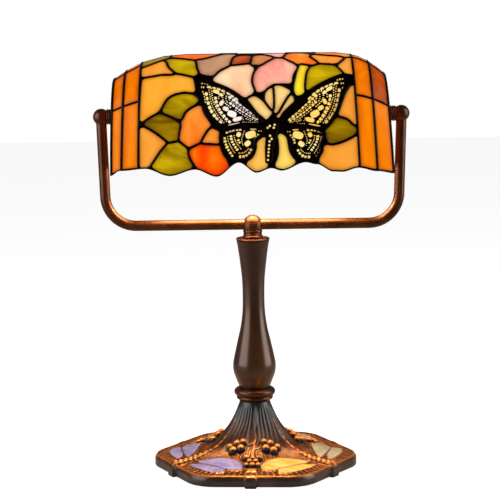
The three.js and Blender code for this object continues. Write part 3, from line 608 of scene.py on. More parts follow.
# The right fore wing reaches higher than the left one: the left one's places, reflected and stretched.
RIGHT_FORE, RIGHT_FORE_FROM = np.array([(-0.996, -0.036), (-0.026, 1.0875)]), (38.7, -5.9)
RIGHT_HIND, RIGHT_HIND_FROM = np.array([(-1, 0), (0, 1)]), (38.4, -1.0)


def wing_openings(rows, spots, turned=None, start=(0, 0)):
    """The openings of one wing. turned and start change the left wing's places into the right wing's."""
    made = [cell for row in rows for cell in row_of_openings(*row)]
    made += [opening((x, v), (math.cos(math.radians(tilt)), math.sin(math.radians(tilt))), length, width)
             for x, v, length, width, tilt in spots]
    return [on_sheet(cell if turned is None else cell @ turned + start) for cell in made]


def circle(centre, radius, count=10):
    turn = np.arange(count) * 2 * math.pi / count
    return np.asarray(centre) + radius * np.stack([np.cos(turn), np.sin(turn)], -1)


def bar_pieces():
    """The straight strips at both ends of the shade, between the upright leads."""
    level = np.interp(0.212, TURNS, ARC)
    shoulder = np.interp(0.44, TURNS, ARC)
    left, right = LINES["left"], LINES["right"]
    pieces = []
    # The middle row of every strip takes a darker copy of the bar glass as painted shade, darkest on the
    # outer strip at the right.
    for low, high, outer in (
        (-SHADE_END + LEAD * 2, left[0] - LEAD, "bar_high"), (left[0] + LEAD, left[1] - LEAD, "bar_high"),
        (right[0] + LEAD, right[1] - LEAD, "bar_high"), (right[1] + LEAD, SHADE_END - LEAD * 2, "bar_deep"),
    ):
        foot = [wave(np.array(x)) + LEAD * 1.7 for x in (low, high)]
        pieces.append(("bar", [(low, foot[0]), (high, foot[1]), (high, level - LEAD), (low, level - LEAD)]))
        for bottom, top, colour in ((level + LEAD, shoulder, outer), (shoulder + LEAD, SHEET_TOP, "bar")):
            pieces.append((colour, [(low, bottom), (high, bottom), (high, top - LEAD), (low, top - LEAD)]))
    return pieces


def straight(points, step=3.0):
    """A closed outline with straight sides, cut into short steps."""
    points = np.asarray(points, float)
    outline = []
    for a, b in zip(points, np.roll(points, -1, 0)):
        steps = max(1, int(math.ceil(np.hypot(*(b - a)) / step)))
        outline.append(a + (b - a) * (np.arange(steps) / steps)[:, None])
    return np.vstack(outline)


def fitted(outlines, wings, passes=14, short_passes=5):
    """Lets the pieces grow until only the lead is left between them, as they are cut in the workshop."""
    crown = np.interp(0.36, TURNS, ARC)
    moved = [np.zeros(len(outline)) for outline in outlines]
    for number in range(passes):
        for i, outline in enumerate(outlines):
            if number >= short_passes and outline[:, 1].max() < crown:
                continue
            limit = np.where(outline[:, 1] > crown, 4.5, 1.3)
            others = outlines[:i] + outlines[i + 1:]
            room = distance_to(others, outline[:, 0], outline[:, 1], 6.0) - 2 * LEAD
            room = np.minimum(room, distance_to(wings, outline[:, 0], outline[:, 1], 8.0) - 3.5)
            step = np.clip(room / 2, -0.3, np.minimum(0.35, limit - moved[i]))
            step = 0.5 * step + 0.25 * np.roll(step, 1) + 0.25 * np.roll(step, -1)
            ahead = np.roll(outline, -1, 0) - np.roll(outline, 1, 0)
            normal = np.stack([ahead[:, 1], -ahead[:, 0]], -1) / (np.hypot(*ahead.T)[:, None] + 1e-9)
            following = np.roll(outline, -1, axis=0)
            if np.sum(outline[:, 0] * following[:, 1] - following[:, 0] * outline[:, 1]) < 0:
                normal = -normal
            outline = outline + normal * step[:, None]
            moved[i] = moved[i] + step
            outline[:, 0] = np.clip(outline[:, 0], LINES["left"][1] + LEAD, LINES["right"][0] - LEAD)
            outline[:, 1] = np.clip(outline[:, 1], wave(outline[:, 0]) + LEAD * 1.25, SHEET_TOP - LEAD)
            outlines[i] = outline
    return outlines


WING_SHAPES = [rounded(on_sheet(outline)) for outline in WINGS]
PIECES = list(zip([colour for colour, _ in FIELD],
                  fitted([rounded(on_sheet(points)) for _, points in FIELD], WING_SHAPES)))
PIECES += [(colour, straight(points)) for colour, points in bar_pieces()]
CELLS = [wing_openings(FORE_ROWS, FORE_SPOTS), wing_openings(HIND_ROWS, HIND_SPOTS),
         wing_openings(FORE_ROWS, FORE_SPOTS, RIGHT_FORE, RIGHT_FORE_FROM),
         wing_openings(HIND_ROWS, HIND_SPOTS, RIGHT_HIND, RIGHT_HIND_FROM)]
BODY_CELLS = [circle(on_sheet([point])[0], 1.15) for point in BODY_BEADS]
BODY_SHAPE = rounded(on_sheet([(11.5, 42), (17.5, 45), (22.5, 42), (20.5, 32), (17.5, 22), (16, 7), (11.5, 7),
                               (11.8, 22), (12.5, 32)]))


def filled(outline, step, inset):
    """An outline filled with triangles about step wide. Returns their points and their numbers."""
    low, high = outline.min(0), outline.max(0)
    gx, gy = np.meshgrid(np.arange(low[0], high[0], step), np.arange(low[1], high[1], step))
    spots = np.stack([gx.ravel(), gy.ravel()], -1)
    spots = spots[distance_to([outline], spots[:, 0], spots[:, 1]) < -inset]
    rim = len(outline)
    flat, _, triangles, *_ = delaunay_2d_cdt(
        [Vector(p) for p in np.vstack([outline, spots])], [(i, (i + 1) % rim) for i in range(rim)],
        [list(range(rim))], 1, 1e-6)
    return np.array([tuple(p) for p in flat]), [tuple(t) for t in triangles]


def solid_plate(plan, top, bottom, triangles):
    """A closed plate between two surfaces over the same triangles. plan shows which way they face."""
    a, b, c = (plan[[t[k] for t in triangles]] for k in range(3))
    if np.sum((b - a)[:, 0] * (c - a)[:, 1] - (b - a)[:, 1] * (c - a)[:, 0]) < 0:
        triangles = [t[::-1] for t in triangles]
    count = len(plan)
    edges = {(a, b): True for t in triangles for a, b in zip(t, (t[1], t[2], t[0]))}
    faces = triangles + [tuple(i + count for i in t[::-1]) for t in triangles]
    faces += [(a, a + count, b + count, b) for a, b in edges if (b, a) not in edges]
    return np.vstack([top, bottom]), faces


PANE_STEP = 2.2


def pane(outline, back):
    """A solid piece of glass with this outline that follows the vault, and how far inside each point is,
    which the glass material uses to paint shade along the leads.
    """
    flat, triangles = filled(outline, PANE_STEP, PANE_STEP * 0.45)
    x, h = flat.T
    vertices, faces = solid_plate(flat, vault(x, h, -0.35, back), vault(x, h, -GLASS + 0.2, back), triangles)
    inward = np.clip(-distance_to([outline], x, h, 1.0) / 5.0, 0, 1)
    return vertices, faces, np.tile(inward, 2)


def joined(parts):
    vertices, faces, start = [], [], 0
    for v, f in parts:
        vertices.append(v)
        faces += [tuple(i + start for i in face) for face in f]
        start += len(v)
    return np.vstack(vertices), faces


def came_sheet(x, h, rows, columns, depth, back, proud, half, keep=-0.9, inner=True):
    """A raised sheet of lead, open where depth is negative. depth is the distance to the nearest glass."""
    rise = np.sqrt(1 - (1 - np.clip(depth / half, 0, 1)) ** 2) * proud
    rise = np.where(depth < 0, np.maximum(depth * 2.2, -1.2), rise)
    outer = vault(x, h, rise - 0.1, back)
    cell = depth.reshape(rows, columns)
    most = np.maximum.reduce([cell[:-1, :-1], cell[1:, :-1], cell[:-1, 1:], cell[1:, 1:]])
    quads = []
    for r, c in np.argwhere(most > keep):
        first = r * columns + c
        quads.append((first, first + 1, first + columns + 1, first + columns))
    if not inner:
        return drop_loose(outer, quads)
    under = vault(x, h, -GLASS - 0.3 - rise * 0.6, back)
    total = len(outer)
    rim = [(c + 1, c, c + total, c + 1 + total) for c in range(columns - 1)]
    for r in range(rows - 1):
        first, last = r * columns, (r + 1) * columns - 1
        rim.append((first, first + columns, first + columns + total, first + total))
        rim.append((last + columns, last, last + total, last + columns + total))
    faces = quads + [tuple(i + total for i in q[::-1]) for q in quads] + rim
    return drop_loose(np.vstack([outer, under]), faces)


def drop_loose(vertices, faces):
    """The same mesh without the vertices that no face uses."""
    used = np.unique(np.concatenate([np.asarray(f) for f in faces]))
    number = np.full(len(vertices), -1)
    number[used] = np.arange(len(used))
    return vertices[used], [tuple(int(number[i]) for i in f) for f in faces]


def build_shade():
    step = 0.8
    columns = int(2 * SHADE_END / step) + 1
    rows = int(SHEET_TOP / step) + 1
    x, q = np.meshgrid(np.linspace(-SHADE_END, SHADE_END, columns), np.linspace(0, 1, rows))
    x, q = x.ravel(), q.ravel()
    edge = wave(x)
    h = q * SHEET_TOP + edge * (1 - q) ** 4
    depth = distance_to([outline for _, outline in PIECES] + WING_SHAPES + [BODY_SHAPE], x, h)
    from_edge = np.minimum(h - edge, SHADE_END - np.abs(x)) + 0.35
    depth = np.where(depth > 0, np.minimum(depth, from_edge), depth)

    fine = 0.38
    lace = []
    for shape, cells in list(zip(WING_SHAPES, CELLS)) + [(BODY_SHAPE, BODY_CELLS)]:
        low, high = shape.min(0) - 1.4, shape.max(0) + 1.4
        c, r = int((high[0] - low[0]) / fine) + 1, int((high[1] - low[1]) / fine) + 1
        grid = np.meshgrid(np.linspace(low[0], high[0], c), np.linspace(low[1], high[1], r))
        fx, fh = (g.ravel() for g in grid)
        holes = distance_to(cells, fx, fh, 2.0)
        lace.append((fx, fh, r, c, np.where(distance_to([shape], fx, fh, 3.0) > 1.0, -5, holes)))

    colours = sorted({colour for colour, _ in PIECES})
    for face, back in (("front", False), ("back", True)):
        lead = make_object(f"lead_{face}", *came_sheet(x, h, rows, columns, depth, back, 0.95, LEAD), SOLDER)
        register(lead, "shade", "solder", "solder_frame")
        sheets = [came_sheet(*part, back, 0.75, 0.45, keep=-0.45, inner=False) for part in lace]
        register(make_object(f"filigree_{face}", *joined(sheets), FILIGREE), "shade", "solder")
        nodes = [f"glass_field_{face}"]
        nodes += [f"glass_bar_{which}_{face}_{side}"
                  for which in ("inner", "outer") for side in ("left", "right")]
        for colour in colours:
            outlines = [outline for name, outline in PIECES if name == colour]
            add_panes(f"panes_{colour}_{face}", outlines, GLASSES[colour], back, nodes)
            nodes = []  # the first colour stands for all the face's glass
        add_panes(f"panes_wing_{face}", WING_SHAPES + [BODY_SHAPE], GLASSES["wing"], back)


def add_panes(name, outlines, material, back, nodes=()):
    parts, inward = [], []
    for outline in outlines:
        vertices, faces, depth = pane(outline, back)
        parts.append((vertices, faces))
        inward.append(depth)
    panes = make_object(name, *joined(parts), material, smooth=False)
    add_attribute(panes, "inward", np.concatenate(inward))
    shade_smooth(panes)
    register(panes, "shade", "glass_amber", *nodes)


def shade_smooth(obj, angle=35):
    """Smooth shading, except over edges that turn by more than angle degrees."""
    obj.data.shade_smooth()
    normals = np.empty(len(obj.data.polygons) * 3, np.float32)
    obj.data.polygons.foreach_get("normal", normals)
    normals = normals.reshape(-1, 3)
    sides = {}
    for polygon in obj.data.polygons:
        for key in polygon.edge_keys:
            sides.setdefault(key, []).append(polygon.index)
    limit = math.cos(math.radians(angle))
    sharp = np.zeros(len(obj.data.edges), bool)
    for edge in obj.data.edges:
        pair = sides.get(tuple(sorted(edge.vertices)), ())
        sharp[edge.index] = len(pair) == 2 and float(normals[pair[0]] @ normals[pair[1]]) < limit
    layer = obj.data.attributes.new("sharp_edge", "BOOLEAN", "EDGE")
    layer.data.foreach_set("value", sharp)


# ---------------------------------------------------------------- column, yoke and pivots

def add_turned(name, profile, node, material, slot="bronze", body="stand", segments=96, place=None,
               closed=True):
    """A turned piece that stands for a CAD node. place is the matrix that puts it there."""
    vertices, faces = lathe(profile, segments, closed)
    if place is not None:
        vertices = (np.asarray(place)[:3, :3] @ vertices.T).T + np.asarray(place)[:3, 3]
    obj = make_object(name, vertices, faces, material, smooth=False)
    shade_smooth(obj, 40)
    register(obj, body, slot, node)


def ball_profile(radius, z, low=-1.0, high=1.0, count=28, hole=0.0):
    """Half a circle from the bottom to the top, cut off at these shares of the radius."""
    start, end = math.asin(low), math.asin(high)
    turn = np.linspace(start, end, count)
    points = [(radius * math.cos(t), z + radius * math.sin(t)) for t in turn]
    return [(hole, points[0][1])] + points + [(hole, points[-1][1])]


def build_column():
    bore = 4.6
    column = spline([
        (13.9, 74.3), (16.8, 81.5), (19.2, 88.5), (19.7, 95), (18.9, 101), (15.6, 116), (12.2, 131),
        (10.4, 145), (10, 160), (10.4, 175), (11.9, 190), (13.6, 203), (15, 211.2),
    ], 90)
    add_turned("column_body", [(bore, 74.3), *column, (bore, 211.2)], "column", BRONZE_COLUMN)
    foot = CONE_TOP + 0.2
    ring = spline(np.array([
        (14.6, 0), (16.2, 0.7), (16.9, 1.9), (16.5, 3.1), (16.3, 3.6), (17.6, 4.4), (18.7, 5.8), (18.95, 7.3),
        (18.6, 8.8), (17.6, 10), (16.4, 10.7), (15.2, 11), (14.2, 11.1),
    ]) + (0, foot), 80)
    add_turned("neck_ring_body", [(bore, foot), *ring, (bore, foot + 11.1)], "neck_ring", BRONZE)
    low = CAP_TOP - 1.7
    add_turned("cap_disc", [(bore, low), (14.8, low), (15.2, low + 0.3), (15.4, low + 0.8), (15.3, low + 1.3),
                            (14.9, CAP_TOP), (bore, CAP_TOP)], "column_cap", BRONZE)
    seat = (0, CAP_TOP + 0.3)
    collar = np.array([(bore, 0), (8.8, 0), (9.3, 0.4), (9.4, 1.0), (9.2, 1.7), (8.4, 2.2), (8.2, 2.6),
                       (8.5, 3.0), (8.6, 3.7), (8.4, 4.3), (7.9, 4.8), (bore, 4.8)])
    add_turned("hub_collar_body", collar + seat, "hub_collar", BRONZE)
    skirt = np.array([(4.8, 5.0), (8.3, 5.0), (8.8, 5.5), (8.85, 6.3), (8.5, 6.9), (8.3, 7.3), (8.7, 7.8),
                      (8.85, 8.6)])
    dome = ball_profile(8.8, HUB_Z, 0.0, 1.0, 24)[1:]
    add_turned("hub_dome", [*(skirt + seat), *dome], "hub_ball", BRONZE, closed=False)


def tube(points, radius, segments=40):
    """A round tube along points that stay in the XZ plane."""
    points = np.asarray(points, float)
    ahead = np.gradient(points, axis=0)
    ahead /= np.linalg.norm(ahead, axis=1)[:, None]
    side = np.array([0.0, 1.0, 0.0])
    up = np.cross(ahead, side)
    turn = np.arange(segments) * 2 * math.pi / segments
    ring = np.cos(turn)[None, :, None] * side + np.sin(turn)[None, :, None] * up[:, None, :]
    outer = points[:, None, :] + ring * radius
    return outer.reshape(-1, 3), grid_faces(len(points), segments, wrap=True, flip=True)


def build_yoke():
    for word, side in (("left", -1), ("right", 1)):
        start = [(side * x, 0, HUB_Z) for x in np.linspace(7.5, ARM - BEND, 12)]
        curve = [(side * (ARM - BEND + BEND * math.sin(t)), 0, HUB_Z + BEND * (1 - math.cos(t)))
                 for t in np.linspace(0.06, math.pi / 2, 26)]
        top = PIVOT_Z - 5.5
        rise = [(side * (ARM + 2.0 * s), 0, HUB_Z + BEND + (top - HUB_Z - BEND) * s)
                for s in np.linspace(0.08, 1, 10)]
        vertices, faces = tube(start + curve + rise, YOKE_TUBE)
        if side < 0:
            faces = [f[::-1] for f in faces]
        arm_tube = make_object(f"yoke_tube_{word}", vertices, faces, BRONZE)
        register(arm_tube, "stand", "bronze", f"yoke_arm_{word}")

        stand_up = Matrix.Translation((side * PIVOT_X, 0, 0))
        add_turned(f"pivot_sphere_{word}", ball_profile(BALL, PIVOT_Z, -0.9, 1.0, 32), f"pivot_ball_{word}",
                   BRONZE, place=stand_up, closed=False)
        lay = Matrix.Translation((0, 0, PIVOT_Z)) @ Matrix.Rotation(side * math.pi / 2, 4, "Y")
        rings = [(3.1, 125.9)]
        for x in (125.9, 127.65, 129.4):
            rings += [(6.2, x), (6.8, x + 0.25), (7.1, x + 0.7), (7.1, x + 1.0), (6.8, x + 1.45),
                      (6.2, x + 1.7)]
        rings.append((3.1, 131.1))
        add_turned(f"pivot_rings_{word}", rings, f"pivot_sleeve_{word}", BRONZE, place=lay, segments=56)


# ---------------------------------------------------------------- base

FLAT, CORNER = 85.0, 30.0  # from the middle to a flat side, and the radius of the corners
NECK, FOOT, REACH, FALL = 13.7, 8.6, 18.5, 0.9  # the flare: where it starts, its lowest level, and its shape
EDGE_TOP, CLEARANCE = 9.0, 1.2  # the upright edge of the foot: its top, and its gap to the table
SIXTH = math.pi / 3
FLIES = [math.radians(a) for a in (-60, 60, 180)]
BERRY_SIDES = [math.radians(a) for a in (0, 120, -120)]


def from_side(angle):
    """The angle from the middle of the nearest side of the foot."""
    return np.abs(angle - SIXTH * np.round(angle / SIXTH))


def foot_radius(angle):
    """Distance from the middle to the edge of the foot, a hexagon with round corners."""
    off = from_side(angle)
    straight_part = FLAT - CORNER
    centre = straight_part / math.cos(SIXTH / 2)
    turn = SIXTH / 2 - off
    arc = centre * np.cos(turn) + np.sqrt(np.maximum(CORNER**2 - (centre * np.sin(turn)) ** 2, 0))
    return np.where(np.tan(off) * FLAT <= straight_part * math.tan(SIXTH / 2), FLAT / np.cos(off), arc)


def stretch_to_foot(radius, angle):
    """How much a circle of this radius is stretched, from nothing at the cone to the outline of the foot."""
    return 1 + smoothstep(radius, 28, 72) * (foot_radius(angle) / FLAT - 1)


def flare(radius):
    out = np.maximum(0, np.asarray(radius, float) - NECK) / REACH
    return FOOT + (CONE_TOP - FOOT) * np.exp(-(out**FALL))


def to_frame(x, y, angle):
    """Across and out, in the axes of the ornament at this angle. Out is away from the middle of the lamp."""
    return x * math.cos(angle) + y * math.sin(angle), x * math.sin(angle) - y * math.cos(angle)


def from_frame(across, out, angle):
    return across * math.cos(angle) + out * math.sin(angle), across * math.sin(angle) - out * math.cos(angle)


def wing_outline(root, tip, width, side, count=40):
    """A wing from root to tip, wider towards its tip. side is -1 for the mirrored one."""
    (rx, ry), (tx, ty) = root, tip
    length, turn = math.hypot(tx - rx, ty - ry), math.atan2(ty - ry, tx - rx)
    t = np.arange(count) * 2 * math.pi / count
    share = (1 - np.cos(t)) / 2
    a, b = length * share, width / 2 * np.sin(t) * (0.45 + 0.65 * share)
    return np.stack([side * (rx + a * math.cos(turn) - b * math.sin(turn)),
                     ry + a * math.sin(turn) + b * math.cos(turn)], -1)


def fly_wings():
    """The four wings, with the hind pair cut back where it would touch the fore pair."""
    wings = []
    for side in (-1, 1):
        fore = wing_outline((9.8, 64.0), (52.0, 39.2), 21.6, side)
        hind = wing_outline((12.6, 72.6), (50.4, 57.2), 18.4, side)
        away = hind.mean(0) - fore.mean(0)
        away /= np.hypot(*away)
        for _ in range(4):
            hind = hind + away * np.maximum(0, 0.7 - distance_to([fore], hind[:, 0], hind[:, 1]))[:, None]
        wings += [("fore", side, fore), ("hind", side, hind)]
    return wings


FLY_WINGS = fly_wings()
# Beads of a dragonfly's body, in pairs from the head at the edge, then one by one up the cone:
# across, out, radius.
FLY_BEADS = [(side * (2.3 - 0.04 * i * i), 82 - i * 5.0 + side * 1.2, 3.1 - 0.15 * i)
             for i in range(7) for side in (-1, 1)]
FLY_BEADS += [(0, at, radius) for at, radius in (
    (46.6, 1.9), (41, 1.6), (35.8, 1.3), (31.2, 1.15), (27.2, 1.0), (23.8, 0.9), (21, 0.8))]
# Berries about the middle of the other sides: across, out, radius.
BERRIES = [(-5.2, 60.5, 2.6), (0.2, 61, 3.0), (5.4, 60.5, 2.6), (-2.6, 54.6, 2.9), (3.0, 54.4, 2.8),
           (-5.6, 49.0, 3.1), (5.8, 49.2, 3.1), (0.1, 49.6, 2.6)]
BERRIES += [(side * across, out, radius) for side in (-1, 1) for across, out, radius in (
    (18.4, 38.0, 4.2), (11.4, 37.4, 4.0), (15.2, 31.6, 3.9), (21.6, 32.4, 3.6), (9.6, 31.4, 3.3))]


def near_line(x, y, points):
    """Distance from points to a line through these places."""
    best = np.full(x.shape, 1e9)
    points = np.asarray(points, float)
    for (ax, ay), (bx, by) in zip(points[:-1], points[1:]):
        dx, dy = bx - ax, by - ay
        t = np.clip(((x - ax) * dx + (y - ay) * dy) / (dx * dx + dy * dy), 0, 1)
        best = np.minimum(best, np.hypot(x - ax - t * dx, y - ay - t * dy))
    return best


def relief(x, y, share):
    """Height of the cast ornament over the plain foot, and how far it turns copper: partly from rubbing,
    partly a painted highlight of the lamp's warm light on tops and on the plate further out from the cone.
    """
    r, angle = np.hypot(x, y), np.arctan2(x, -y)
    # Flutes run down the cone, wander a little, and split into finer pleats further out.
    wander = 0.16 * np.sin(r / 6.5 + 3 * np.sin(3 * angle)) + 0.08 * np.sin(r / 2.9 + 5 * angle)
    coarse = np.abs(np.sin(17 * (angle + wander * 0.3))) ** 0.7
    fine = np.abs(np.sin(57 * (angle + wander * 0.05))) ** 0.8
    blend = smoothstep(r, 26, 44)
    amount = 0.85 * smoothstep(r, 13.5, 17) * (1 - smoothstep(share, 0.74, 0.8))
    height = ((coarse * (1 - blend) * 1.7 + fine * blend * 0.8) - 0.6) * amount
    raised = 0.02 + 0.38 * (coarse * (1 - blend) + fine * blend) * smoothstep(r, 24, 46)
    # Short radial ridges inside the rim, and the lip itself.
    band = smoothstep(share, 0.83, 0.86) * (1 - smoothstep(share, 0.95, 0.965))
    ticks = smoothstep(np.cos(98 * angle), 0.74, 0.98)
    height = height + band * (ticks * 0.65 - 0.1)
    raised = raised * (1 - band) + band * (0.12 + ticks * 0.72)
    lip = smoothstep(share, 0.962, 0.974) * (1 - smoothstep(share, 0.995, 1.0) * 0.4)
    height = height + lip * 0.75
    line = np.exp(-(((share - 0.979) / 0.005) ** 2))
    raised = np.maximum(raised * (1 - lip), lip * (0.28 + 0.7 * line))
    for fly in FLIES:
        across, out = to_frame(x, y, fly)
        here = (out > 10) & (np.abs(across) < 62)
        for _, _, outline in FLY_WINGS:
            gap = np.full(x.shape, 9.0)
            gap[here] = distance_to([outline], across[here], out[here], 9.0)
            frame_line = np.exp(-((gap - 1.0) / 0.75) ** 2)
            inside = smoothstep(-gap, -0.4, 0.6)
            height = height * (1 - smoothstep(-gap, -2.6, -1.2)) + frame_line * 0.95 - inside * 0.9
            raised = np.maximum(raised * (1 - inside), frame_line * 0.5)
        spine = np.exp(-((across / 2.6) ** 2)) * smoothstep(out, 40, 50) * (1 - smoothstep(out, 84, 86))
        height = height + spine * 0.5
        for side, at, radius in FLY_BEADS:
            gap = np.hypot(across - side, (out - at) * (0.9 if at > 46 else 0.5)) / radius
            bead = np.sqrt(np.maximum(0, 1 - gap**2))
            rise = bead * radius * (1.05 if at > 46 else 0.8)
            height = np.where(bead > 0, np.maximum(height, rise), height)
            # Copper on the top of each bead: from rubbing, and a painted highlight where the lamp's light
            # falls.
            raised = np.where(bead > 0, np.maximum(raised * 0.4, 1.1 * bead**2), raised)
    for at in BERRY_SIDES:
        across, out = to_frame(x, y, at)
        twig = np.minimum.reduce([near_line(across, out, places) for places in (
            [(1.5, 15), (2.6, 20), (1.2, 25), (2.4, 29), (0.6, 33), (0.2, 45), (0, 56), (0, 72)],
            [(0.6, 33), (-4, 33.5), (-8, 32.4), (-12, 32.5)],
            [(0.4, 38), (4, 37), (8, 34.4), (12, 33.5)])])
        line = np.exp(-((twig / 0.6) ** 2))
        height = height + line * 0.9
        raised = np.maximum(raised, line * (0.15 + 0.75 * smoothstep(out, 22, 38)))
        leaf = np.maximum(np.abs(across) / 5.4, np.abs(out - 68.5) / 4.2) ** 1.5
        height = np.where(leaf < 1, np.maximum(height, 1.1 * (1 - leaf**2)), height)
        raised = np.where(leaf < 1, np.maximum(raised, 0.75 * (1 - leaf**4)), raised)
        for bx, by, radius in BERRIES:
            gap = np.hypot(across - bx, out - by) / radius
            # A painted shadow ring darkens the copper round the foot of each berry, and under each berry the
            # casting is painted cool grey.
            raised = np.where(gap < 1, -0.4, raised * (1 - 0.8 * np.exp(-((gap - 1.08) / 0.16) ** 2)))
    tabs = np.exp(-(((share - 0.985) / 0.03) ** 2)) * (1 - smoothstep(from_side(angle) * FLAT, 3.4, 5.2))
    return height + tabs * 0.5, raised


# The edge of the foot from its lip to its underside: out, height, and how far it turns copper. The lip takes
# copper from rubbing and a painted highlight, and values under zero paint the upright edge cool grey as a
# painted reflection.
EDGE = [(FLAT - 0.5, EDGE_TOP + 0.45, 0.25), (FLAT, EDGE_TOP - 0.6, -0.3), (FLAT + 0.1, 5.0, -0.4),
        (FLAT, CLEARANCE + 0.5, -0.3), (FLAT - 0.5, CLEARANCE, 0.1), (FLAT - 3.0, CLEARANCE, 0.0)]
TAB_OUT = 2.3  # how far the tabs stand out from the edge
TAB_CLEARANCE = 0.15


def build_base():
    turns, rings = ((840, 150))
    angle = np.arange(turns) * 2 * math.pi / turns
    round_radius = (NECK + (FLAT - 1.4 - NECK) * np.linspace(0, 1, rings) ** 1.05)[:, None]
    r = round_radius * stretch_to_foot(round_radius, angle[None, :])
    x, y = r * np.sin(angle), -r * np.cos(angle)
    share = np.broadcast_to(round_radius / FLAT, r.shape)
    height, raised = relief(x.ravel(), y.ravel(), share.ravel())
    z = flare(round_radius) - 0.15 + height.reshape(r.shape)
    raised = raised.reshape(r.shape)

    def ring(out, level):
        return np.stack([out * np.sin(angle), -out * np.cos(angle), np.broadcast_to(level, angle.shape)], -1)

    rows, wear_and_glint = [ring(5.0, CONE_TOP)], [np.zeros(turns)]
    rows += [np.stack([x[i], y[i], z[i]], -1) for i in range(rings)]
    wear_and_glint += list(raised)
    outline = foot_radius(angle)
    tab = 1 - smoothstep(from_side(angle) * FLAT, 4.6, 5.6)
    for number, (radius, level, copper_or_grey) in enumerate(EDGE):
        out = radius * outline / FLAT + tab * (TAB_OUT if number < 5 else 0)
        rows.append(ring(out, level - tab * (CLEARANCE - TAB_CLEARANCE if number >= 3 else 0)))
        wear_and_glint.append(np.full(turns, copper_or_grey))
    rows.append(ring((FLAT - 3.2) * outline / FLAT, 5.6))
    wear_and_glint.append(np.zeros(turns))
    faces = grid_faces(len(rows), turns, wrap=True, flip=True)
    casting = make_object("base_shell", np.vstack(rows), faces, BRONZE_CAST)
    add_attribute(casting, "raised", np.concatenate(wear_and_glint))
    casting.data.transform(Matrix.Rotation(TWIST, 4, "Z"))
    register(casting, "stand", "bronze", "base_casting")


# The glass of each dragonfly, on the left and on the right of the frame's names.
FLY_TONES = [("lilac", "lilac"), ("cream", "amber"), ("cream", "cream")]


def add_fly_wings():
    for number, fly in enumerate(FLIES):
        for pair, side, outline in FLY_WINGS:
            inner = outline.mean(0) + (outline - outline.mean(0)) * 0.965
            flat, triangles = filled(inner, 1.6, 0.8)
            gap = distance_to([inner], flat[:, 0], flat[:, 1])
            x, y = from_frame(flat[:, 0], flat[:, 1], fly)
            reach = np.hypot(x, y)
            level = flare(reach / stretch_to_foot(reach, np.arctan2(x, -y)))
            plan = np.stack([x, y], -1)
            top = np.column_stack([plan, level + 0.5 + 0.5 * smoothstep(-gap, 0, 1.6)])
            vertices, faces = solid_plate(plan, top, np.column_stack([plan, level - 1.2]), triangles)
            # Across runs the other way than the frame's left and right.
            place = f"{pair}_{'left' if side > 0 else 'right'}_{number + 1}"
            tone = FLY_TONES[number][0 if side > 0 else 1]
            wing = make_object(f"fly_{place}", vertices, faces, FLY_GLASSES[tone], smooth=False)
            shade_smooth(wing, 50)
            wing.data.transform(Matrix.Rotation(TWIST, 4, "Z"))
            register(wing, "stand", "glass_lilac" if tone == "lilac" else "glass_cream", f"wing_{place}")


def add_berries():
    """The berries are balls, sunk a little into the casting."""
    tilt = np.linspace(0.001, 1, 13) * math.pi * 0.999
    balls, wear_and_glint = [], []
    for at in BERRY_SIDES:
        for across, out, radius in BERRIES:
            x, y = from_frame(across, out, at)
            level = float(flare(math.hypot(x, y))) + radius * 0.42
            profile = np.stack([radius * np.sin(tilt), -radius * np.cos(tilt)], -1)
            vertices, faces = lathe(profile, 20, closed=True)
            # Painted highlight: copper on the top of each berry, where the lamp's light falls, and painted
            # shade in cool grey under it.
            wear_and_glint.append(1.6 * smoothstep(vertices[:, 2] / radius, 0.0, 0.85) - 0.5)
            balls.append((vertices + (x, y, level), faces))
    berries = make_object("berries", *joined(balls), BRONZE_CAST)
    add_attribute(berries, "raised", np.concatenate(wear_and_glint))
    berries.data.transform(Matrix.Rotation(TWIST, 4, "Z"))
    register(berries, "stand", "bronze")


# ---------------------------------------------------------------- end walls, socket, bulb and hidden pieces

def add_end_walls():
    """Three panes in each end wall, with leads between them and a disc of lead round the pivot."""
    turn = np.concatenate([np.linspace(0.0, 0.5, 24), np.linspace(0.5, 1.0, 24)[1:]])
    across, up = arch(turn)
    cuts = (-19.0, 19.0)
    for word, side in (("left", -1), ("right", 1)):
        scale = np.interp(side * SHADE_END, TAPER[:, 0], TAPER[:, 1])
        inset = 3.3
        outline = np.stack([-across * (scale * SHADE_DEPTH - inset), RIM + up * (scale * CROWN - inset)], -1)
        outline[[0, -1], 1] = RIM - 2.6
        face_x, back_x = side * (SHADE_END - 0.5), side * (SHADE_END - 2.2)
        behind = back_x - side * 0.3
        panes = [plate_yz(clip_strip(outline, low + 1.3, high - 1.3), face_x - side * 0.35, back_x, side)
                 for low, high in zip((-200, *cuts), (*cuts, 200))]
        bars = [plate_yz(clip_strip(outline, at - 1.4, at + 1.4), face_x + side * 0.35, behind, side)
                for at in cuts]
        disc = circle((0, PIVOT_Z), 9.5, 40)
        bars.append(plate_yz(disc, face_x + side * 0.25, behind, side, hole=NIPPLE_HOLE))
        for vertices, _ in panes + bars:
            lean = np.interp(side * SHADE_END, LEAN[:, 0], LEAN[:, 1])
            vertices[:, 0] -= lean * (vertices[:, 2] - LEVEL) / 90
        wall = make_object(f"end_panes_{word}", *joined(panes), GLASSES["bar"], smooth=False)
        # The end panes take one even share of the painted shade along the leads.
        add_attribute(wall, "inward", np.full(len(wall.data.vertices), 0.8))
        register(wall, "shade", "glass_amber", f"glass_end_{word}")
        register(make_object(f"end_leads_{word}", *joined(bars), SOLDER, smooth=False), "shade", "solder")


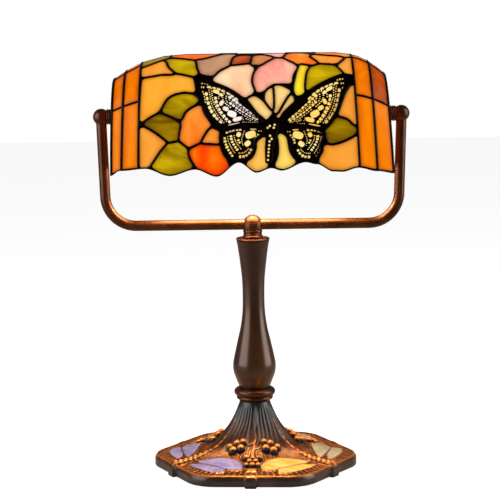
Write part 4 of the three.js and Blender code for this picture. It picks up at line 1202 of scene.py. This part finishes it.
def build_fittings():
    lay = Matrix.Translation((0, 0, PIVOT_Z)) @ Matrix.Rotation(-math.pi / 2, 4, "Y")
    hole = NIPPLE_HOLE
    add_turned("socket_cup", [(14.2, 66), (15.6, 66), (16.2, 66.5), (16.4, 68), (16.2, 69.5), (16.9, 71),
                              (17.2, 74), (17.4, 80), (17.4, 103.7), (hole, 103.7), (hole, 101), (14.2, 101)],
               "socket_shell", BRASS, "brass", "shade", 64, lay)
    add_turned("socket_dome", [(hole, 104), (15.5, 104), (17.0, 104.3), (17.4, 105), (17.4, 107),
                               (16.4, 108.6), (14, 110.2), (11, 111.2), (8, 111.7), (hole, 111.7)],
               "socket_cap", BAKELITE, "black_plastic", "shade", 64, lay)
    envelope = spline([
        (0.01, -6), (5, -5.4), (9.5, -3.6), (14, -0.4), (18, 4.2), (21, 10.5), (22.4, 18), (22.2, 25),
        (20.4, 34), (17.2, 44), (14.6, 53), (13.1, 61), (12.6, 68), (12.6, 72.7),
    ], 60)
    add_turned("bulb_envelope", [*envelope, (11.6, 72.7)], "bulb_glass", BULB, "bulb_glass", "bulb", 64, lay,
               closed=False)


def clip_strip(outline, low, high):
    """The part of an outline in the YZ plane between two values of Y."""
    points = [tuple(p) for p in outline]
    for limit, keep in ((low, 1), (high, -1)):
        kept = []
        for a, b in zip(points, points[1:] + points[:1]):
            ina, inb = keep * (a[0] - limit) >= 0, keep * (b[0] - limit) >= 0
            if ina:
                kept.append(a)
            if ina != inb:
                t = (limit - a[0]) / (b[0] - a[0])
                kept.append((limit, a[1] + t * (b[1] - a[1])))
        points = kept
    return np.array(points)


def plate_yz(outline, x0, x1, side, hole=None):
    """A flat plate whose outline lies in the YZ plane, between two values of X."""
    if hole:
        inner = circle(outline.mean(0), hole, len(outline))
        rings = [outline, inner]
        count = len(outline)
        vertices = np.vstack([np.column_stack([np.full(count, x), ring]) for x in (x0, x1) for ring in rings])
        faces = []
        for i in range(count):
            j = (i + 1) % count
            faces += [(i, j, j + count, i + count),
                      (i + 2 * count, i + 3 * count, j + 3 * count, j + 2 * count),
                      (i, i + 2 * count, j + 2 * count, j),
                      (i + count, j + count, j + 3 * count, i + 3 * count)]
    else:
        count = len(outline)
        vertices = np.vstack([np.column_stack([np.full(count, x), outline]) for x in (x0, x1)])
        faces = [tuple(range(count)), tuple(range(2 * count - 1, count - 1, -1))]
        faces += [(i, i + count, (i + 1) % count + count, (i + 1) % count) for i in range(count)]
    area = 0.5 * sum(a[0] * b[1] - b[0] * a[1] for a, b in zip(outline, np.roll(outline, -1, 0)))
    if (area > 0) != (side > 0):
        faces = [f[::-1] for f in faces]
    return vertices, faces


CARRIED = {
    BRASS: ["bulb_cap", "pivot_nipple_left", "pivot_nipple_right", "pivot_nut_left", "pivot_nut_right",
            "end_plate_left", "end_plate_right"],
    STEEL: ["bottom_cover", "threaded_rod", "base_washer", "base_nut"],
    IRON: ["base_weight"],
    FELT: ["felt_pad"],
    BAKELITE: ["cord_bush"],
}
for material, names in CARRIED.items():
    for name in names:
        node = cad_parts[name]
        node.data.materials.clear()
        node.data.materials.append(material)

build_shade()
build_column()
build_yoke()
build_base()
add_fly_wings()
add_berries()
add_end_walls()
build_fittings()

# ---------------------------------------------------------------- floor, light and camera

PAPER = plain("floor", (0.36, 0.36, 0.36), (0.37, 0.37, 0.37), 0.95, 0.0, 4, 0.0)
floor = make_object("floor", [(-3000, -3000, 0), (3000, -3000, 0), (3000, 3000, 0), (-3000, 3000, 0)],
                    [(0, 1, 2, 3)], PAPER, smooth=False)
# The floor is white paper to the eye, and throws little light back up on the metal.
tree = PAPER.node_tree
seen = add_node(tree, "LightPath").outputs["Is Camera Ray"]
fill(tree, tree.nodes["Principled BSDF"], {
    "Emission Color": (1, 1, 1), "Emission Strength": calculate(tree, "MULTIPLY", seen, 0.88)})

# The room is dim, so that the metal shows its colour, and the paper behind is white.
world = bpy.data.worlds.new("studio")
bpy.context.scene.world = world
world.use_nodes = True
tree = world.node_tree
room = tree.nodes["Background"]
fill(tree, room, {"Color": (1, 1, 1), "Strength": 0.12})
paper = add_node(tree, "Background", {"Color": (1, 1, 1), "Strength": 1.0})
seen = add_node(tree, "LightPath").outputs["Is Camera Ray"]
choose = add_node(tree, "MixShader", {
    0: seen, 1: room.outputs["Background"], 2: paper.outputs["Background"]})
fill(tree, tree.nodes["World Output"], {"Surface": choose.outputs["Shader"]})


def add_light(name, kind, energy, place, target, size, colour=(1, 1, 1)):
    data = bpy.data.lights.new(name, kind)
    data.energy = energy
    data.color = colour
    if kind == "AREA":
        data.shape = "RECTANGLE"
        data.size, data.size_y = size
    else:
        data.shadow_soft_size = size
    light = bpy.data.objects.new(name, data)
    light.location = Vector(place)
    light.visible_camera = False
    light.rotation_mode = "QUATERNION"
    light.rotation_quaternion = (Vector(target) - Vector(place)).to_track_quat("-Z", "Y")
    bpy.context.scene.collection.objects.link(light)
    return light


add_light("left_softbox", "AREA", 17, (-1.10, -0.47, 0.55), (0, 0, 0.2), (1.2, 1.3))
add_light("right_softbox", "AREA", 15, (1.19, -0.17, 0.60), (0, 0, 0.2), (0.9, 1.3))
add_light("lamp_glow", "AREA", 1.5, (0, 0, 0.300), (0, 0, 0), (0.17, 0.09), (1.0, 0.62, 0.30))
add_light("lamp_inside", "POINT", 0.9, (0.0, 0, 0.300), (0, 0, 0), 0.012, (1.0, 0.66, 0.34))

DISTANCE, EYE = 1.9, 0.495  # from the middle of the lamp, and over the table
PITCH, ROLL, LENS = 8.77, 0.75, 151.2
camera_data = bpy.data.cameras.new("camera")
camera_data.lens = LENS
camera_data.sensor_width = 36
camera_data.clip_end = 50
camera = bpy.data.objects.new("camera", camera_data)
camera.location = (-0.0027, -DISTANCE, EYE)
camera.rotation_mode = "QUATERNION"
ahead = Vector((0, math.cos(math.radians(PITCH)), -math.sin(math.radians(PITCH))))
tilted = Matrix.Rotation(math.radians(-ROLL), 3, "Z").to_quaternion()
camera.rotation_quaternion = ahead.to_track_quat("-Z", "Y") @ tilted
bpy.context.scene.collection.objects.link(camera)
bpy.context.scene.camera = camera
bpy.context.scene.view_settings.view_transform = "Standard"
